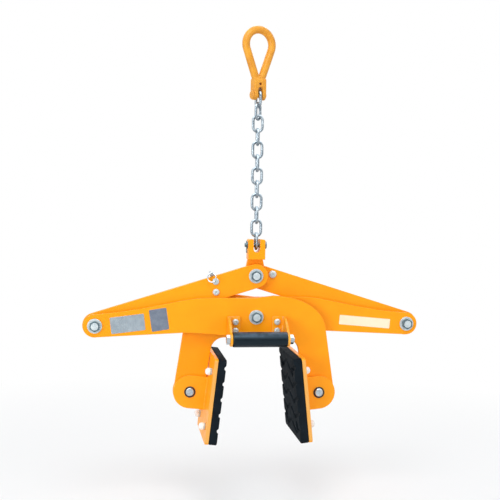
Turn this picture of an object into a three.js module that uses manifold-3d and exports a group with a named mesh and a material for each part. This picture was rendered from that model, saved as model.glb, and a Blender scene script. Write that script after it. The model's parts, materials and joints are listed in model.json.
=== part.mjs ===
// Scissor clamp for slabs and blocks, hanging open from its master link.
// Millimetres, +Z up, +X to the right, the front (handle side) faces -Y.
// The origin is the hook seat, the inside top of the master link's eye.
import * as THREE from 'three';
import { mergeVertices } from 'three/addons/utils/BufferGeometryUtils.js';
import Module from 'manifold-3d';

const wasm = await Module();
wasm.setup();

// Clearances
const seatGap = 0.3; // between pieces that rest on each other
const boreGap = 0.35; // round a pin or bolt in its hole
const layerGap = 0.4; // between plates that slide on each other
const overrun = 2; // how far a cut runs past a face
const edgeBreak = 0.8; // broken edge of cut plate

// Linkage
const plateThickness = 12;
const setback = 4.8; // the four layers of plate lie this far back, so that the clamp hangs level
const linkLength = 370; // top pivot to outer pivot
const linkRise = 109.2; // outer pivots to top pivot, straight up, when the clamp hangs open
const openTilt = THREE.MathUtils.degToRad(3); // outer pivots hang below the centre pivot
const padReach = 143.9; // centre pivot to pad pivot, sideways
const padDrop = 169; // centre pivot to pad pivot, down
const linkHalfWidth = 27;
const closingMismatch = 4.6; // play that the rear jaw's centre hole allows

// Master link
const eye = {
  rod: 17.5, insideWidth: 47.5, insideHeight: 90, throatRadius: 9, turn: THREE.MathUtils.degToRad(20),
};
const clevis = {
  width: 29, gap: 11, depth: 22, seatToPin: 135, rim: 5, crown: 7, edge: 2.5, slotHeadroom: 4.5, lockHole: 5,
  pinDiameter: 12, headDiameter: 19, headHeight: 3,
};

// Chain
const chain = { count: 12, pitch: 28.9, wire: 6.4, width: 27 };
const clevisLinkTurn = THREE.MathUtils.degToRad(110); // first link square to the clevis pin
const twistRise = 1.7; // links that cross askew ride up on each other
const twistLinkTurn = THREE.MathUtils.degToRad(55); // second link, part way round to the third

// Chain lug
const lug = {
  width: 38, depth: 34, blockTop: 13, blockBottom: 32, slotWidth: 14.8, slotBottom: 16, crown: 5, edge: 2,
  neckWidth: 33, pinToPivot: 69, tongueRadius: 25,
  pinDiameter: 10, pinHead: 17, pinHeadHeight: 4, pinTail: 4, washerThickness: 1.5,
};
const splitPin = { wire: 2, eye: 6, leg: 4 };

// Fasteners
const pivotBolt = {
  diameter: 14, flats: 21, head: 9, nut: 12, tail: 2, washer: 32, washerThickness: 3, wideFlange: 40, spacer: 44,
};

// Jaw outline, from the centre pivot
const jaw = {
  endRadius: 25, crown: 47.5, back: 42.5, belly: 48.5, waist: 34.2, throatRadius: 30,
  legOutside: 36, legInside: 31.5, legFlare: THREE.MathUtils.degToRad(8.7), shoulder: 22,
};

// Pads
const pad = {
  height: 186, depth: 188, rubber: 18, plate: 8, standoff: 36, boltSpacing: 120, corner: 8, edge: 2,
  tilt: THREE.MathUtils.degToRad(6.2),
};
const cheek = { thickness: 6, radius: 37 };
const tread = { pitch: 34, width: 8, depth: 3.5, rise: 17, waves: 2 };
const padBolt = { diameter: 8, head: 15, headHeight: 5, counterbore: 20, cover: 6, flats: 13, nut: 8, tail: 3 };
const padPin = { diameter: 18, ring: 25, ringThickness: 1.5, proud: 1.5 };

// Handle
const handle = {
  length: 119, diameter: 33, edge: 2, reach: 60, drop: 41, plate: 5, endRadius: 15,
  rod: 12, flats: 18, nut: 8, tail: 2,
  baseWidth: 29, baseTop: 2.4, baseHeight: 37, boltInset: 18, boltTop: 12, boltSpacing: 19.5,
};
const bracketBolt = { diameter: 8, head: 14, headHeight: 5, flats: 13, nut: 6.5, tail: 2 };

// Hold-open latch. Its bolts are placed along and square to the left link, from the top pivot.
const latch = {
  pivotAlong: 89.8, pivotUp: 14.7, stopAlong: 95.7, stopDown: 8.3, swing: THREE.MathUtils.degToRad(10),
  thickness: 10, hub: 9, shank: 8.5, foot: 7, hook: 5.5, lip: 6, play: 1.5,
  bolt: 8, head: 15, headHeight: 5, nutFlats: 13, nut: 6.5, tail: 2,
  thumb: 3.5, thumbAlong: 21, thumbLean: THREE.MathUtils.degToRad(38), thumbReach: 15,
  ring: 9.8, wire: 2.5, ringPlay: 1, ringTurn: THREE.MathUtils.degToRad(-25),
};

// Derived places
const layerPitch = plateThickness + layerGap;
const layerFront = (layer) => (layer - 3) * layerPitch + setback; // front jaw, left link, rear jaw, right link
const layerBack = (layer) => layerFront(layer) + plateThickness;
const linkInner = chain.pitch + seatGap;
const clevisPinZ = -clevis.seatToPin;
const firstLinkZ = clevisPinZ + clevis.pinDiameter / 2 + seatGap - linkInner / 2;
const chainLinkZ = (index) => firstLinkZ - index * chain.pitch + Math.min(index, 2) * twistRise;
const lugPinZ = chainLinkZ(chain.count - 1) - linkInner / 2 + seatGap + lug.pinDiameter / 2;
const topZ = lugPinZ - lug.pinToPivot;
const linkSlope = Math.asin(linkRise / linkLength);
const outerX = linkLength * Math.cos(linkSlope);
const outerZ = topZ - linkRise;
const outerDrop = outerX * Math.tan(openTilt); // outer pivot below the centre pivot
const centreZ = outerZ + outerDrop;
const padZ = centreZ - padDrop;

// Finishes
const finish = (color, roughness, metalness) =>
  new THREE.MeshStandardMaterial({ color, roughness, metalness, flatShading: true });
const yellowPaint = () => finish(0xffa61f, 0.38, 0);
const ochrePaint = () => finish(0xe0962f, 0.45, 0);
const brightZinc = () => finish(0xb9c6cf, 0.32, 1);
const darkSteel = () => finish(0x3c3a38, 0.5, 0.6);
const blackRubber = () => finish(0x1b2026, 0.72, 0);
const gripPlastic = () => finish(0x14171d, 0.4, 0);

// Solids
function solid(geometry) {
  const bare = new THREE.BufferGeometry();
  bare.setAttribute('position', geometry.getAttribute('position').clone());
  if (geometry.index) bare.setIndex(geometry.index.clone());
  const merged = mergeVertices(bare);
  return new wasm.Manifold(new wasm.Mesh({
    numProp: 3,
    vertProperties: new Float32Array(merged.getAttribute('position').array),
    triVerts: new Uint32Array(merged.index.array),
  }));
}

function geometryOf(body) {
  const { vertProperties, triVerts } = body.getMesh();
  const geometry = new THREE.BufferGeometry();
  geometry.setAttribute('position', new THREE.BufferAttribute(new Float32Array(vertProperties), 3));
  geometry.setIndex(new THREE.BufferAttribute(new Uint32Array(triVerts), 1));
  geometry.computeVertexNormals();
  return geometry;
}

function mirrorX(body) {
  const { vertProperties, triVerts } = body.getMesh();
  const otherWay = [0, 2, 1];
  return new wasm.Manifold(new wasm.Mesh({
    numProp: 3,
    vertProperties: vertProperties.map((value, i) => (i % 3 === 0 ? -value : value)),
    triVerts: triVerts.map((_, i) => triVerts[i - (i % 3) + otherWay[i % 3]]),
  }));
}

const join = (...geometries) => geometries.map(solid).reduce((sum, body) => sum.add(body));
const cut = (body, ...geometries) => geometries.map(solid).reduce((rest, tool) => rest.subtract(tool), body);

function extrude(shape, thickness, edge, curveSegments) {
  return new THREE.ExtrudeGeometry(shape, {
    depth: thickness - 2 * edge, steps: 1, curveSegments,
    bevelEnabled: edge > 0, bevelThickness: edge, bevelSize: edge, bevelOffset: -edge, bevelSegments: 1,
  });
}

// A plate whose outline is drawn in X and Z, from its front face backwards
function plate(shape, front, thickness, edge = 0, curveSegments = 10) {
  const geometry = extrude(shape, thickness, edge, curveSegments);
  geometry.rotateX(Math.PI / 2);
  return geometry.translate(0, front + thickness - edge, 0);
}

// A plate whose outline is drawn in Y and Z, from its lowest X upwards
function sidePlate(shape, start, thickness, edge = 0, curveSegments = 8) {
  const geometry = extrude(shape, thickness, edge, curveSegments);
  const toYZ = new THREE.Matrix4().set(0, 0, 1, 0, 1, 0, 0, 0, 0, 1, 0, 0, 0, 0, 0, 1);
  geometry.applyMatrix4(toYZ);
  return geometry.translate(start + edge, 0, 0);
}

function rodY(radius, from, to, x = 0, z = 0, sides = 16) {
  return new THREE.CylinderGeometry(radius, radius, to - from, sides).translate(x, (from + to) / 2, z);
}

function rodX(radius, from, to, y = 0, z = 0, sides = 16) {
  return new THREE.CylinderGeometry(radius, radius, Math.abs(to - from), sides)
    .rotateZ(Math.PI / 2).translate((from + to) / 2, y, z);
}

function rodZ(radius, from, to, x = 0, y = 0, sides = 8) {
  return new THREE.CylinderGeometry(radius, radius, to - from, sides)
    .rotateX(Math.PI / 2).translate(x, y, (from + to) / 2);
}

const hexRadius = (flats) => flats / Math.sqrt(3);
const hexY = (flats, from, to, x = 0, z = 0) => rodY(hexRadius(flats), from, to, x, z, 6);
const hexX = (flats, from, to, y = 0, z = 0) => rodX(hexRadius(flats), from, to, y, z, 6);

// Turned solids, from a profile of [radius, place along the axis] that closes on itself or on the axis
function turnedY(profile, sides) {
  return new THREE.LatheGeometry(profile.map(([r, y]) => new THREE.Vector2(r, y)), sides);
}

const turnedX = (profile, sides) => turnedY(profile, sides).rotateZ(-Math.PI / 2);

const ringY = (outer, inner, from, to) =>
  turnedY([[inner, from], [outer, from], [outer, to], [inner, to], [inner, from]], 16);

const box = (width, depth, height, x, y, z) => new THREE.BoxGeometry(width, depth, height).translate(x, y, z);

// A round rod bent into a closed flat loop
function loopTube(centreline, normal, radius, sides) {
  const count = centreline.length;
  const positions = [];
  const indices = [];
  centreline.forEach((point, i) => {
    const ahead = centreline[(i + 1) % count];
    const behind = centreline[(i + count - 1) % count];
    const along = ahead.clone().sub(behind).normalize();
    const outward = along.clone().cross(normal);
    for (let j = 0; j < sides; j += 1) {
      const angle = (2 * Math.PI * j) / sides;
      const corner = point.clone()
        .addScaledVector(outward, radius * Math.cos(angle))
        .addScaledVector(normal, radius * Math.sin(angle));
      positions.push(...corner.toArray());
      const a = i * sides + j;
      const b = i * sides + ((j + 1) % sides);
      const c = ((i + 1) % count) * sides + ((j + 1) % sides);
      const d = ((i + 1) % count) * sides + j;
      indices.push(a, d, b, b, d, c);
    }
  });
  const geometry = new THREE.BufferGeometry();
  geometry.setAttribute('position', new THREE.Float32BufferAttribute(positions, 3));
  geometry.setIndex(indices);
  return geometry;
}

// The outline round two circles on a vertical line, as points in X and Z, anticlockwise from the right
function pearPoints(topRadius, topCentre, bottomRadius, bottomCentre, topSteps, bottomSteps) {
  const lean = Math.asin((topRadius - bottomRadius) / (topCentre - bottomCentre));
  const points = [];
  for (let i = 0; i <= topSteps; i += 1) {
    const angle = -lean + ((Math.PI + 2 * lean) * i) / topSteps;
    points.push(new THREE.Vector3(topRadius * Math.cos(angle), 0, topCentre + topRadius * Math.sin(angle)));
  }
  for (let i = 0; i <= bottomSteps; i += 1) {
    const angle = Math.PI + lean + ((Math.PI - 2 * lean) * i) / bottomSteps;
    points.push(new THREE.Vector3(bottomRadius * Math.cos(angle), 0, bottomCentre + bottomRadius * Math.sin(angle)));
  }
  return points;
}

// Every piece goes into this group as its own named mesh
const clamp = new THREE.Group();

function addPiece(parent, name, shape, material) {
  const mesh = new THREE.Mesh(shape.isBufferGeometry ? shape : geometryOf(shape), material);
  mesh.name = name;
  parent.add(mesh);
  return mesh;
}

function addGroup(x, z, turn = 0) {
  const group = new THREE.Group();
  group.position.set(x, 0, z);
  group.rotation.y = turn;
  clamp.add(group);
  return group;
}

// Master link: a pear-shaped eye forged in one with its clevis
function masterLink() {
  const rodRadius = eye.rod / 2;
  const topRadius = eye.insideWidth / 2 + rodRadius;
  const topCentre = rodRadius - topRadius;
  const bottomCentre = -eye.insideHeight - rodRadius + eye.throatRadius;
  const path = pearPoints(topRadius, topCentre, eye.throatRadius, bottomCentre, 16, 4);
  const ring = loopTube(path, new THREE.Vector3(0, 1, 0), rodRadius, 10);

  const half = clevis.width / 2;
  const earRadius = clevis.depth / 2;
  const bottom = clevisPinZ - earRadius;
  const top = -eye.insideHeight - clevis.rim;
  const body = new THREE.Shape();
  body.moveTo(-half, bottom);
  body.lineTo(half, bottom);
  body.lineTo(half, top - clevis.crown);
  body.quadraticCurveTo(half, top, half - clevis.crown, top);
  body.lineTo(clevis.crown - half, top);
  body.quadraticCurveTo(-half, top, -half, top - clevis.crown);
  const block = plate(body, -clevis.depth / 2, clevis.depth, clevis.edge, 3);

  // the ears are rounded about the pin
  const corners = new THREE.Shape();
  corners.moveTo(-earRadius - overrun, clevisPinZ);
  corners.lineTo(-earRadius, clevisPinZ);
  corners.absarc(0, clevisPinZ, earRadius, Math.PI, 2 * Math.PI, false);
  corners.lineTo(earRadius + overrun, clevisPinZ);
  corners.lineTo(earRadius + overrun, bottom - overrun);
  corners.lineTo(-earRadius - overrun, bottom - overrun);
  const earCut = sidePlate(corners, -half - overrun, clevis.width + 2 * overrun);

  const slotTop = clevisPinZ + clevis.pinDiameter / 2 + chain.wire + clevis.slotHeadroom;
  const gapRadius = clevis.gap / 2;
  const slotShape = new THREE.Shape();
  slotShape.moveTo(-gapRadius, bottom - overrun);
  slotShape.lineTo(gapRadius, bottom - overrun);
  slotShape.lineTo(gapRadius, slotTop - gapRadius);
  slotShape.absarc(0, slotTop - gapRadius, gapRadius, 0, Math.PI, false);
  const slot = plate(slotShape, -clevis.depth / 2 - overrun, clevis.depth + 2 * overrun);

  const bore = rodX(clevis.pinDiameter / 2 + boreGap, -half - overrun, half + overrun, 0, clevisPinZ);
  const lockHole = rodY(clevis.lockHole / 2, -clevis.depth, clevis.depth, 0, slotTop + clevis.crown, 10);
  return cut(join(ring, block), earCut, slot, bore, lockHole);
}

function masterLinkPin() {
  const seat = clevis.width / 2 + seatGap;
  const end = seat + clevis.headHeight;
  const head = clevis.headDiameter / 2;
  const shank = clevis.pinDiameter / 2;
  const profile = [
    [0, -end], [head - edgeBreak, -end], [head, edgeBreak - end], [head, -seat], [shank, -seat],
    [shank, end - edgeBreak], [shank - edgeBreak, end], [0, end],
  ];
  return turnedX(profile, 16).translate(0, 0, clevisPinZ);
}

const suspension = addGroup(0, 0);
suspension.rotation.z = eye.turn;
addPiece(suspension, 'master_link', masterLink(), ochrePaint());
addPiece(suspension, 'master_link_pin', masterLinkPin(), ochrePaint());

// Chain: each link is turned to suit its neighbours
function chainLink() {
  const bend = (chain.width - chain.wire) / 2;
  const straight = (linkInner + chain.wire) / 2 - bend;
  const bendSteps = 6;
  const path = [];
  for (const end of [1, -1]) {
    for (let i = 0; i <= bendSteps; i += 1) {
      const angle = (Math.PI * i) / bendSteps;
      path.push(new THREE.Vector3(end * bend * Math.cos(angle), 0, end * (straight + bend * Math.sin(angle))));
    }
  }
  return loopTube(path, new THREE.Vector3(0, 1, 0), chain.wire / 2, 7);
}

for (let index = 0; index < chain.count; index += 1) {
  const name = `chain_link_${String(index + 1).padStart(2, '0')}`;
  const link = addPiece(clamp, name, chainLink(), brightZinc());
  const squareTurn = index % 2 === 0 ? 0 : Math.PI / 2;
  link.rotation.z = [clevisLinkTurn, twistLinkTurn][index] ?? squareTurn;
  link.position.z = chainLinkZ(index);
}

// Chain lug: a slotted block over a tongue that the two upper links hold between them
function chainLug() {
  const half = lug.width / 2;
  const neck = lug.neckWidth / 2;
  const blockTop = lug.pinToPivot + lug.blockTop;
  const blockBottom = lug.pinToPivot - lug.blockBottom;
  const blockShape = new THREE.Shape();
  blockShape.moveTo(-half, blockBottom);
  blockShape.lineTo(half, blockBottom);
  blockShape.lineTo(half, blockTop - lug.crown);
  blockShape.quadraticCurveTo(half, blockTop, half - lug.crown, blockTop);
  blockShape.lineTo(lug.crown - half, blockTop);
  blockShape.quadraticCurveTo(-half, blockTop, -half, blockTop - lug.crown);
  const block = plate(blockShape, -lug.depth / 2, lug.depth, lug.edge, 4);

  const tongueShape = new THREE.Shape();
  tongueShape.moveTo(-neck, blockBottom + overrun);
  tongueShape.lineTo(-lug.tongueRadius, 0);
  tongueShape.absarc(0, 0, lug.tongueRadius, Math.PI, 2 * Math.PI, false);
  tongueShape.lineTo(neck, blockBottom + overrun);
  const tongue = plate(tongueShape, layerFront(3), plateThickness, 0, 16);

  const slotRadius = lug.slotWidth / 2;
  const slotCentre = lug.pinToPivot - lug.slotBottom + slotRadius;
  const slotShape = new THREE.Shape();
  slotShape.moveTo(slotRadius, blockTop + overrun);
  slotShape.lineTo(-slotRadius, blockTop + overrun);
  slotShape.lineTo(-slotRadius, slotCentre);
  slotShape.absarc(0, slotCentre, slotRadius, Math.PI, 2 * Math.PI, false);
  const slot = plate(slotShape, -lug.depth / 2 - overrun, lug.depth + 2 * overrun);

  const pinBore = rodX(lug.pinDiameter / 2 + boreGap, -half - overrun, half + overrun, 0, lug.pinToPivot);
  const pivotBore = rodY(pivotBolt.diameter / 2 + boreGap, layerFront(3) - overrun, layerBack(3) + overrun);
  return cut(join(block, tongue), slot, pinBore, pivotBore);
}

// The lug pin has a head on the right, and a washer and a split pin on the left
const lugWasherX = -lug.width / 2 - seatGap;
const splitPinX = lugWasherX - lug.washerThickness - splitPin.wire / 4; // its legs bite into the washer

function lugPin() {
  const seat = lug.width / 2 + seatGap;
  const end = splitPinX - lug.pinTail;
  const head = rodX(lug.pinHead / 2, seat, seat + lug.pinHeadHeight, 0, lug.pinToPivot);
  const shank = rodX(lug.pinDiameter / 2, end, seat + overrun, 0, lug.pinToPivot);
  const hole = rodZ(splitPin.wire / 2 + boreGap, -lug.pinHead, lug.pinHead, splitPinX).translate(0, 0, lug.pinToPivot);
  return cut(join(head, shank), hole);
}

// The split pin's eye is below the lug pin, and its legs are spread above it. The washer is made one with it.
function lugSplitPin() {
  const radius = splitPin.wire / 2;
  const under = lug.pinDiameter / 2 + splitPin.eye;
  const over = lug.pinDiameter / 2 + splitPin.leg;
  const leg = rodZ(radius, -under, over, splitPinX, 0, 6);
  const ringPoints = Array.from({ length: 8 }, (_, i) => {
    const angle = (2 * Math.PI * i) / 8;
    const reach = splitPin.eye / 2;
    return new THREE.Vector3(splitPinX, reach * Math.sin(angle), -under - reach * Math.cos(angle));
  });
  const ring = loopTube(ringPoints, new THREE.Vector3(1, 0, 0), radius, 6);
  const washer = turnedX([
    [lug.pinDiameter / 2 + boreGap, 0], [lug.pinHead / 2, 0],
    [lug.pinHead / 2, lug.washerThickness], [lug.pinDiameter / 2 + boreGap, lug.washerThickness],
    [lug.pinDiameter / 2 + boreGap, 0],
  ], 16).translate(lugWasherX - lug.washerThickness, 0, 0);
  return join(leg, ring, washer);
}

const topGroup = addGroup(0, topZ);
addPiece(topGroup, 'chain_lug', chainLug(), yellowPaint());
addPiece(topGroup, 'lug_pin', lugPin(), brightZinc());
addPiece(topGroup, 'lug_split_pin', lugSplitPin(), brightZinc()).position.z = lug.pinToPivot;

// Pivot fasteners: a hexagon bolt and washer in front, a flanged nut behind
function addPivot(name, x, z, frontLayer, backLayer, flange = pivotBolt.washer) {
  const radius = pivotBolt.diameter / 2;
  const washerBack = layerFront(frontLayer) - seatGap;
  const headBack = washerBack - pivotBolt.washerThickness - seatGap;
  const nutFront = layerBack(backLayer) + seatGap;
  const nutBack = nutFront + pivotBolt.washerThickness + pivotBolt.nut;
  const bolt = join(
    hexY(pivotBolt.flats, headBack - pivotBolt.head, headBack),
    rodY(radius, headBack - overrun, nutBack + pivotBolt.tail),
  );
  const nut = cut(
    join(
      hexY(pivotBolt.flats, nutFront, nutBack),
      rodY(flange / 2, nutFront, nutFront + pivotBolt.washerThickness),
    ),
    rodY(radius + boreGap, nutFront - overrun, nutBack + overrun),
  );
  const washer = ringY(pivotBolt.washer / 2, radius + boreGap, washerBack - pivotBolt.washerThickness, washerBack);
  const group = addGroup(x, z);
  addPiece(group, `${name}_bolt`, bolt, brightZinc());
  addPiece(group, `${name}_nut`, nut, brightZinc());
  addPiece(group, `${name}_washer`, washer, brightZinc());
  return group;
}

addPivot('top_pivot', 0, topZ, 2, 4);
addPivot('left_outer_pivot', -outerX, outerZ, 1, 2);
addPivot('right_outer_pivot', outerX, outerZ, 3, 4);
const centreGroup = addPivot('centre_pivot', 0, centreZ, 1, 3, pivotBolt.wideFlange);
addPiece(centreGroup, 'centre_spacer', ringY(
  pivotBolt.spacer / 2, pivotBolt.diameter / 2 + boreGap, layerBack(1) + seatGap, layerFront(3) - seatGap,
), darkSteel());

// Upper links: flat bars with round ends, drawn level from the top pivot and turned to their slope
function upperLink(layer, holes) {
  const outline = new THREE.Shape();
  outline.absarc(0, 0, linkHalfWidth, Math.PI / 2, 1.5 * Math.PI, false);
  outline.absarc(linkLength, 0, linkHalfWidth, -Math.PI / 2, Math.PI / 2, false);
  const bar = solid(plate(outline, layerFront(layer), plateThickness, edgeBreak, 9));
  const bores = [[0, 0, pivotBolt.diameter], [linkLength, 0, pivotBolt.diameter], ...holes];
  return cut(bar, ...bores.map(([x, z, diameter]) =>
    rodY(diameter / 2 + boreGap, layerFront(layer) - overrun, layerBack(layer) + overrun, x, z)));
}

const leftLinkGroup = addGroup(0, topZ, -linkSlope);
const rightLinkGroup = addGroup(0, topZ, linkSlope);
const leftLink = mirrorX(upperLink(2, [
  [latch.pivotAlong, latch.pivotUp, latch.bolt],
  [latch.stopAlong, -latch.stopDown, latch.bolt],
]));
addPiece(leftLinkGroup, 'left_link', leftLink, yellowPaint());
addPiece(rightLinkGroup, 'right_link', upperLink(4, []), yellowPaint());

// Jaws: bell cranks cut from plate, the rear one a mirror image of the front one.
// Curve points are shares of outerX or padReach sideways, and of jaw.waist, belly, crown or back in height.
const bellyStartShare = 0.452;
const bellyCurveShares = [[0.311, 1], [0.028, 1], [0.417, 1]];
const shoulderCurveShares = [[1.05, 0.34], [0.75, 0.96], [0.278, 1]];
const armStartShare = 0.311;
const armCurveShares = [[0.467, 1], [0.651, 0.376]];

function jawOutline() {
  // The leg is a flared bar with parallel sides, set a little outside its pad pivot.
  const across = [Math.cos(jaw.legFlare), Math.sin(jaw.legFlare)];
  const legHalf = (jaw.legOutside + jaw.legInside) / 2;
  const legSet = jaw.legOutside - legHalf;
  const throatZ = -jaw.belly - jaw.throatRadius;
  const edgeX = (z, outward) => padReach + outward / across[0] - (z + padDrop) * Math.tan(jaw.legFlare);
  const [bellyOne, bellyTwo, bellyEnd] = bellyCurveShares;
  const [shoulderOne, shoulderTwo, crownStart] = shoulderCurveShares;
  const [armOne, armTwo] = armCurveShares;

  const shape = new THREE.Shape();
  shape.absarc(-outerX, -outerDrop, jaw.endRadius, Math.PI / 2, 1.5 * Math.PI, false);
  shape.lineTo(-bellyStartShare * outerX, -jaw.waist);
  shape.bezierCurveTo(
    -bellyOne[0] * outerX, -bellyOne[1] * jaw.waist,
    -bellyTwo[0] * outerX, -bellyTwo[1] * jaw.belly,
    bellyEnd[0] * padReach, -bellyEnd[1] * jaw.belly,
  );
  const throatX = edgeX(throatZ, -jaw.legInside - jaw.throatRadius);
  shape.absarc(throatX, throatZ, jaw.throatRadius, Math.PI / 2, jaw.legFlare, true);
  shape.absarc(
    padReach + legSet * across[0], -padDrop + legSet * across[1], legHalf,
    Math.PI + jaw.legFlare, 2 * Math.PI + jaw.legFlare, false,
  );
  shape.lineTo(edgeX(-jaw.shoulder, jaw.legOutside), -jaw.shoulder);
  shape.bezierCurveTo(
    shoulderOne[0] * padReach, shoulderOne[1] * jaw.crown,
    shoulderTwo[0] * padReach, shoulderTwo[1] * jaw.crown,
    crownStart[0] * padReach, crownStart[1] * jaw.crown,
  );
  shape.lineTo(0, jaw.back);
  shape.lineTo(-armStartShare * outerX, jaw.back);
  shape.bezierCurveTo(
    -armOne[0] * outerX, armOne[1] * jaw.back,
    -armTwo[0] * outerX, armTwo[1] * jaw.back,
    -outerX, -outerDrop + jaw.endRadius,
  );
  return shape;
}

function jawPlate(layer, centreBore, holes) {
  const bores = [
    [0, 0, centreBore],
    [-outerX, -outerDrop, pivotBolt.diameter + 2 * boreGap],
    [padReach, -padDrop, padPin.diameter + 2 * boreGap],
    ...holes,
  ];
  return cut(
    solid(plate(jawOutline(), layerFront(layer), plateThickness, edgeBreak, 6)),
    ...bores.map(([x, z, diameter]) =>
      rodY(diameter / 2, layerFront(layer) - overrun, layerBack(layer) + overrun, x, z, 14)),
  );
}

// Latch places, seen from the centre pivot
const onLeftLink = (along, up) => [
  -along * Math.cos(linkSlope) - up * Math.sin(linkSlope),
  topZ - along * Math.sin(linkSlope) + up * Math.cos(linkSlope),
];
const [pawlX, pawlZ] = onLeftLink(latch.pivotAlong, latch.pivotUp);
const [stopX, stopZ] = onLeftLink(latch.stopAlong, -latch.stopDown);
const lipTop = centreZ + jaw.back - pawlZ; // the rear jaw's back edge, seen from the pawl's pivot
const footTop = lipTop - latch.lip - latch.play;
const footBottom = footTop - latch.foot;
const shankRight = stopX - pawlX - latch.bolt / 2 - seatGap;
const lipEnd = shankRight + latch.play;
const footEnd = lipEnd + latch.hook;

// The notch in the rear jaw's back edge, with the lip that the pawl hooks under
function catchNotch() {
  const heel = footBottom - latch.play;
  const wayIn = shankRight - latch.shank + heel * Math.sin(latch.swing) - latch.play;
  const shape = new THREE.Shape();
  shape.moveTo(wayIn, lipTop + overrun);
  shape.lineTo(wayIn, heel);
  shape.lineTo(footEnd + latch.play, heel);
  shape.lineTo(footEnd + latch.play, lipTop - latch.lip);
  shape.lineTo(lipEnd, lipTop - latch.lip);
  shape.lineTo(lipEnd, lipTop + overrun);
  return plate(shape, layerFront(3) - overrun, plateThickness + 2 * overrun).translate(pawlX, 0, pawlZ - centreZ);
}

const bracketInner = handle.length / 2 + seatGap;
const bracketOuter = bracketInner + handle.plate;
const bracketBolts = [0, 1].flatMap((row) => [-1, 1].map((side) => [
  side * (bracketOuter - handle.boltInset),
  handle.baseTop - handle.boltTop - row * handle.boltSpacing,
]));

const jawGroup = addGroup(0, centreZ);
const frontJaw = jawPlate(1, pivotBolt.diameter + 2 * boreGap,
  bracketBolts.map(([x, z]) => [x, z, bracketBolt.diameter + 2 * boreGap]));
const rearJaw = mirrorX(jawPlate(3, pivotBolt.diameter + 2 * (boreGap + closingMismatch), []));
addPiece(jawGroup, 'front_jaw', frontJaw, yellowPaint());
addPiece(jawGroup, 'rear_jaw', cut(rearJaw, catchNotch()), yellowPaint());

// Pads: drawn for the right side from the pad pivot, the left one mirrored
const plateBack = -pad.standoff;
const plateFront = plateBack - pad.plate;
const rubberBack = plateFront - seatGap;
const gripFace = rubberBack - pad.rubber;

function roundedPanel(start, thickness, edge) {
  const y = pad.depth / 2;
  const z = pad.height / 2;
  const r = pad.corner;
  const shape = new THREE.Shape();
  shape.absarc(y - r, z - r, r, 0, Math.PI / 2, false);
  shape.absarc(r - y, z - r, r, Math.PI / 2, Math.PI, false);
  shape.absarc(r - y, r - z, r, Math.PI, 1.5 * Math.PI, false);
  shape.absarc(y - r, r - z, r, 1.5 * Math.PI, 2 * Math.PI, false);
  return sidePlate(shape, start, thickness, edge, 2);
}

const padBoltPlaces = [-1, 1].flatMap((row) => [-1, 1].map((column) => [
  (column * pad.boltSpacing) / 2, (row * pad.boltSpacing) / 2,
]));

function padPlate(layer) {
  const cheekShape = new THREE.Shape();
  cheekShape.moveTo(plateBack - seatGap, -cheek.radius);
  cheekShape.lineTo(0, -cheek.radius);
  cheekShape.absarc(0, 0, cheek.radius, -Math.PI / 2, Math.PI / 2, false);
  cheekShape.lineTo(plateBack - seatGap, cheek.radius);
  const frontCheek = plate(cheekShape, layerFront(layer) - layerGap - cheek.thickness, cheek.thickness, 0, 9);
  const backCheek = plate(cheekShape, layerBack(layer) + layerGap, cheek.thickness, 0, 9);
  const panel = roundedPanel(plateFront, pad.plate, 0);
  return cut(
    join(panel, frontCheek, backCheek),
    rodY(padPin.diameter / 2 + boreGap, -pad.depth / 2, pad.depth / 2),
    ...padBoltPlaces.map(([y, z]) => rodX(padBolt.diameter / 2 + boreGap, gripFace, 0, y, z, 10)),
  );
}

// One zigzag groove right across the rubber, as a band in Y and Z
function treadGroove(z) {
  const legs = 2 * tread.waves;
  const half = pad.depth / 2 + overrun;
  const crest = Array.from({ length: legs + 1 }, (_, i) => [
    -half + (2 * half * i) / legs, z + (i % 2 === 0 ? tread.rise : -tread.rise) / 2,
  ]);
  const shape = new THREE.Shape();
  const upper = crest.map(([y, centre]) => new THREE.Vector2(y, centre + tread.width / 2));
  const lower = crest.map(([y, centre]) => new THREE.Vector2(y, centre - tread.width / 2));
  shape.setFromPoints([...lower, ...upper.reverse()]);
  return sidePlate(shape, gripFace - overrun, tread.depth + overrun);
}

function padRubber() {
  const panel = roundedPanel(gripFace, pad.rubber, pad.edge);
  const grooves = Math.floor(pad.height / tread.pitch);
  const rows = Array.from({ length: grooves }, (_, i) => (i - (grooves - 1) / 2) * tread.pitch);
  return cut(
    solid(panel),
    ...rows.map(treadGroove),
    ...padBoltPlaces.map(([y, z]) => rodX(padBolt.diameter / 2 + boreGap, gripFace, 0, y, z, 10)),
    ...padBoltPlaces.map(([y, z]) =>
      rodX(padBolt.counterbore / 2, gripFace - overrun, rubberBack - padBolt.cover, y, z, 12)),
  );
}

function padFastener([y, z]) {
  const headSeat = rubberBack - padBolt.cover - seatGap;
  const nutSeat = plateBack + seatGap;
  return join(
    rodX(padBolt.head / 2, headSeat - padBolt.headHeight, headSeat, y, z, 8),
    rodX(padBolt.diameter / 2, headSeat - edgeBreak, nutSeat + padBolt.nut + padBolt.tail, y, z, 8),
    hexX(padBolt.flats, nutSeat, nutSeat + padBolt.nut, y, z),
  );
}

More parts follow.
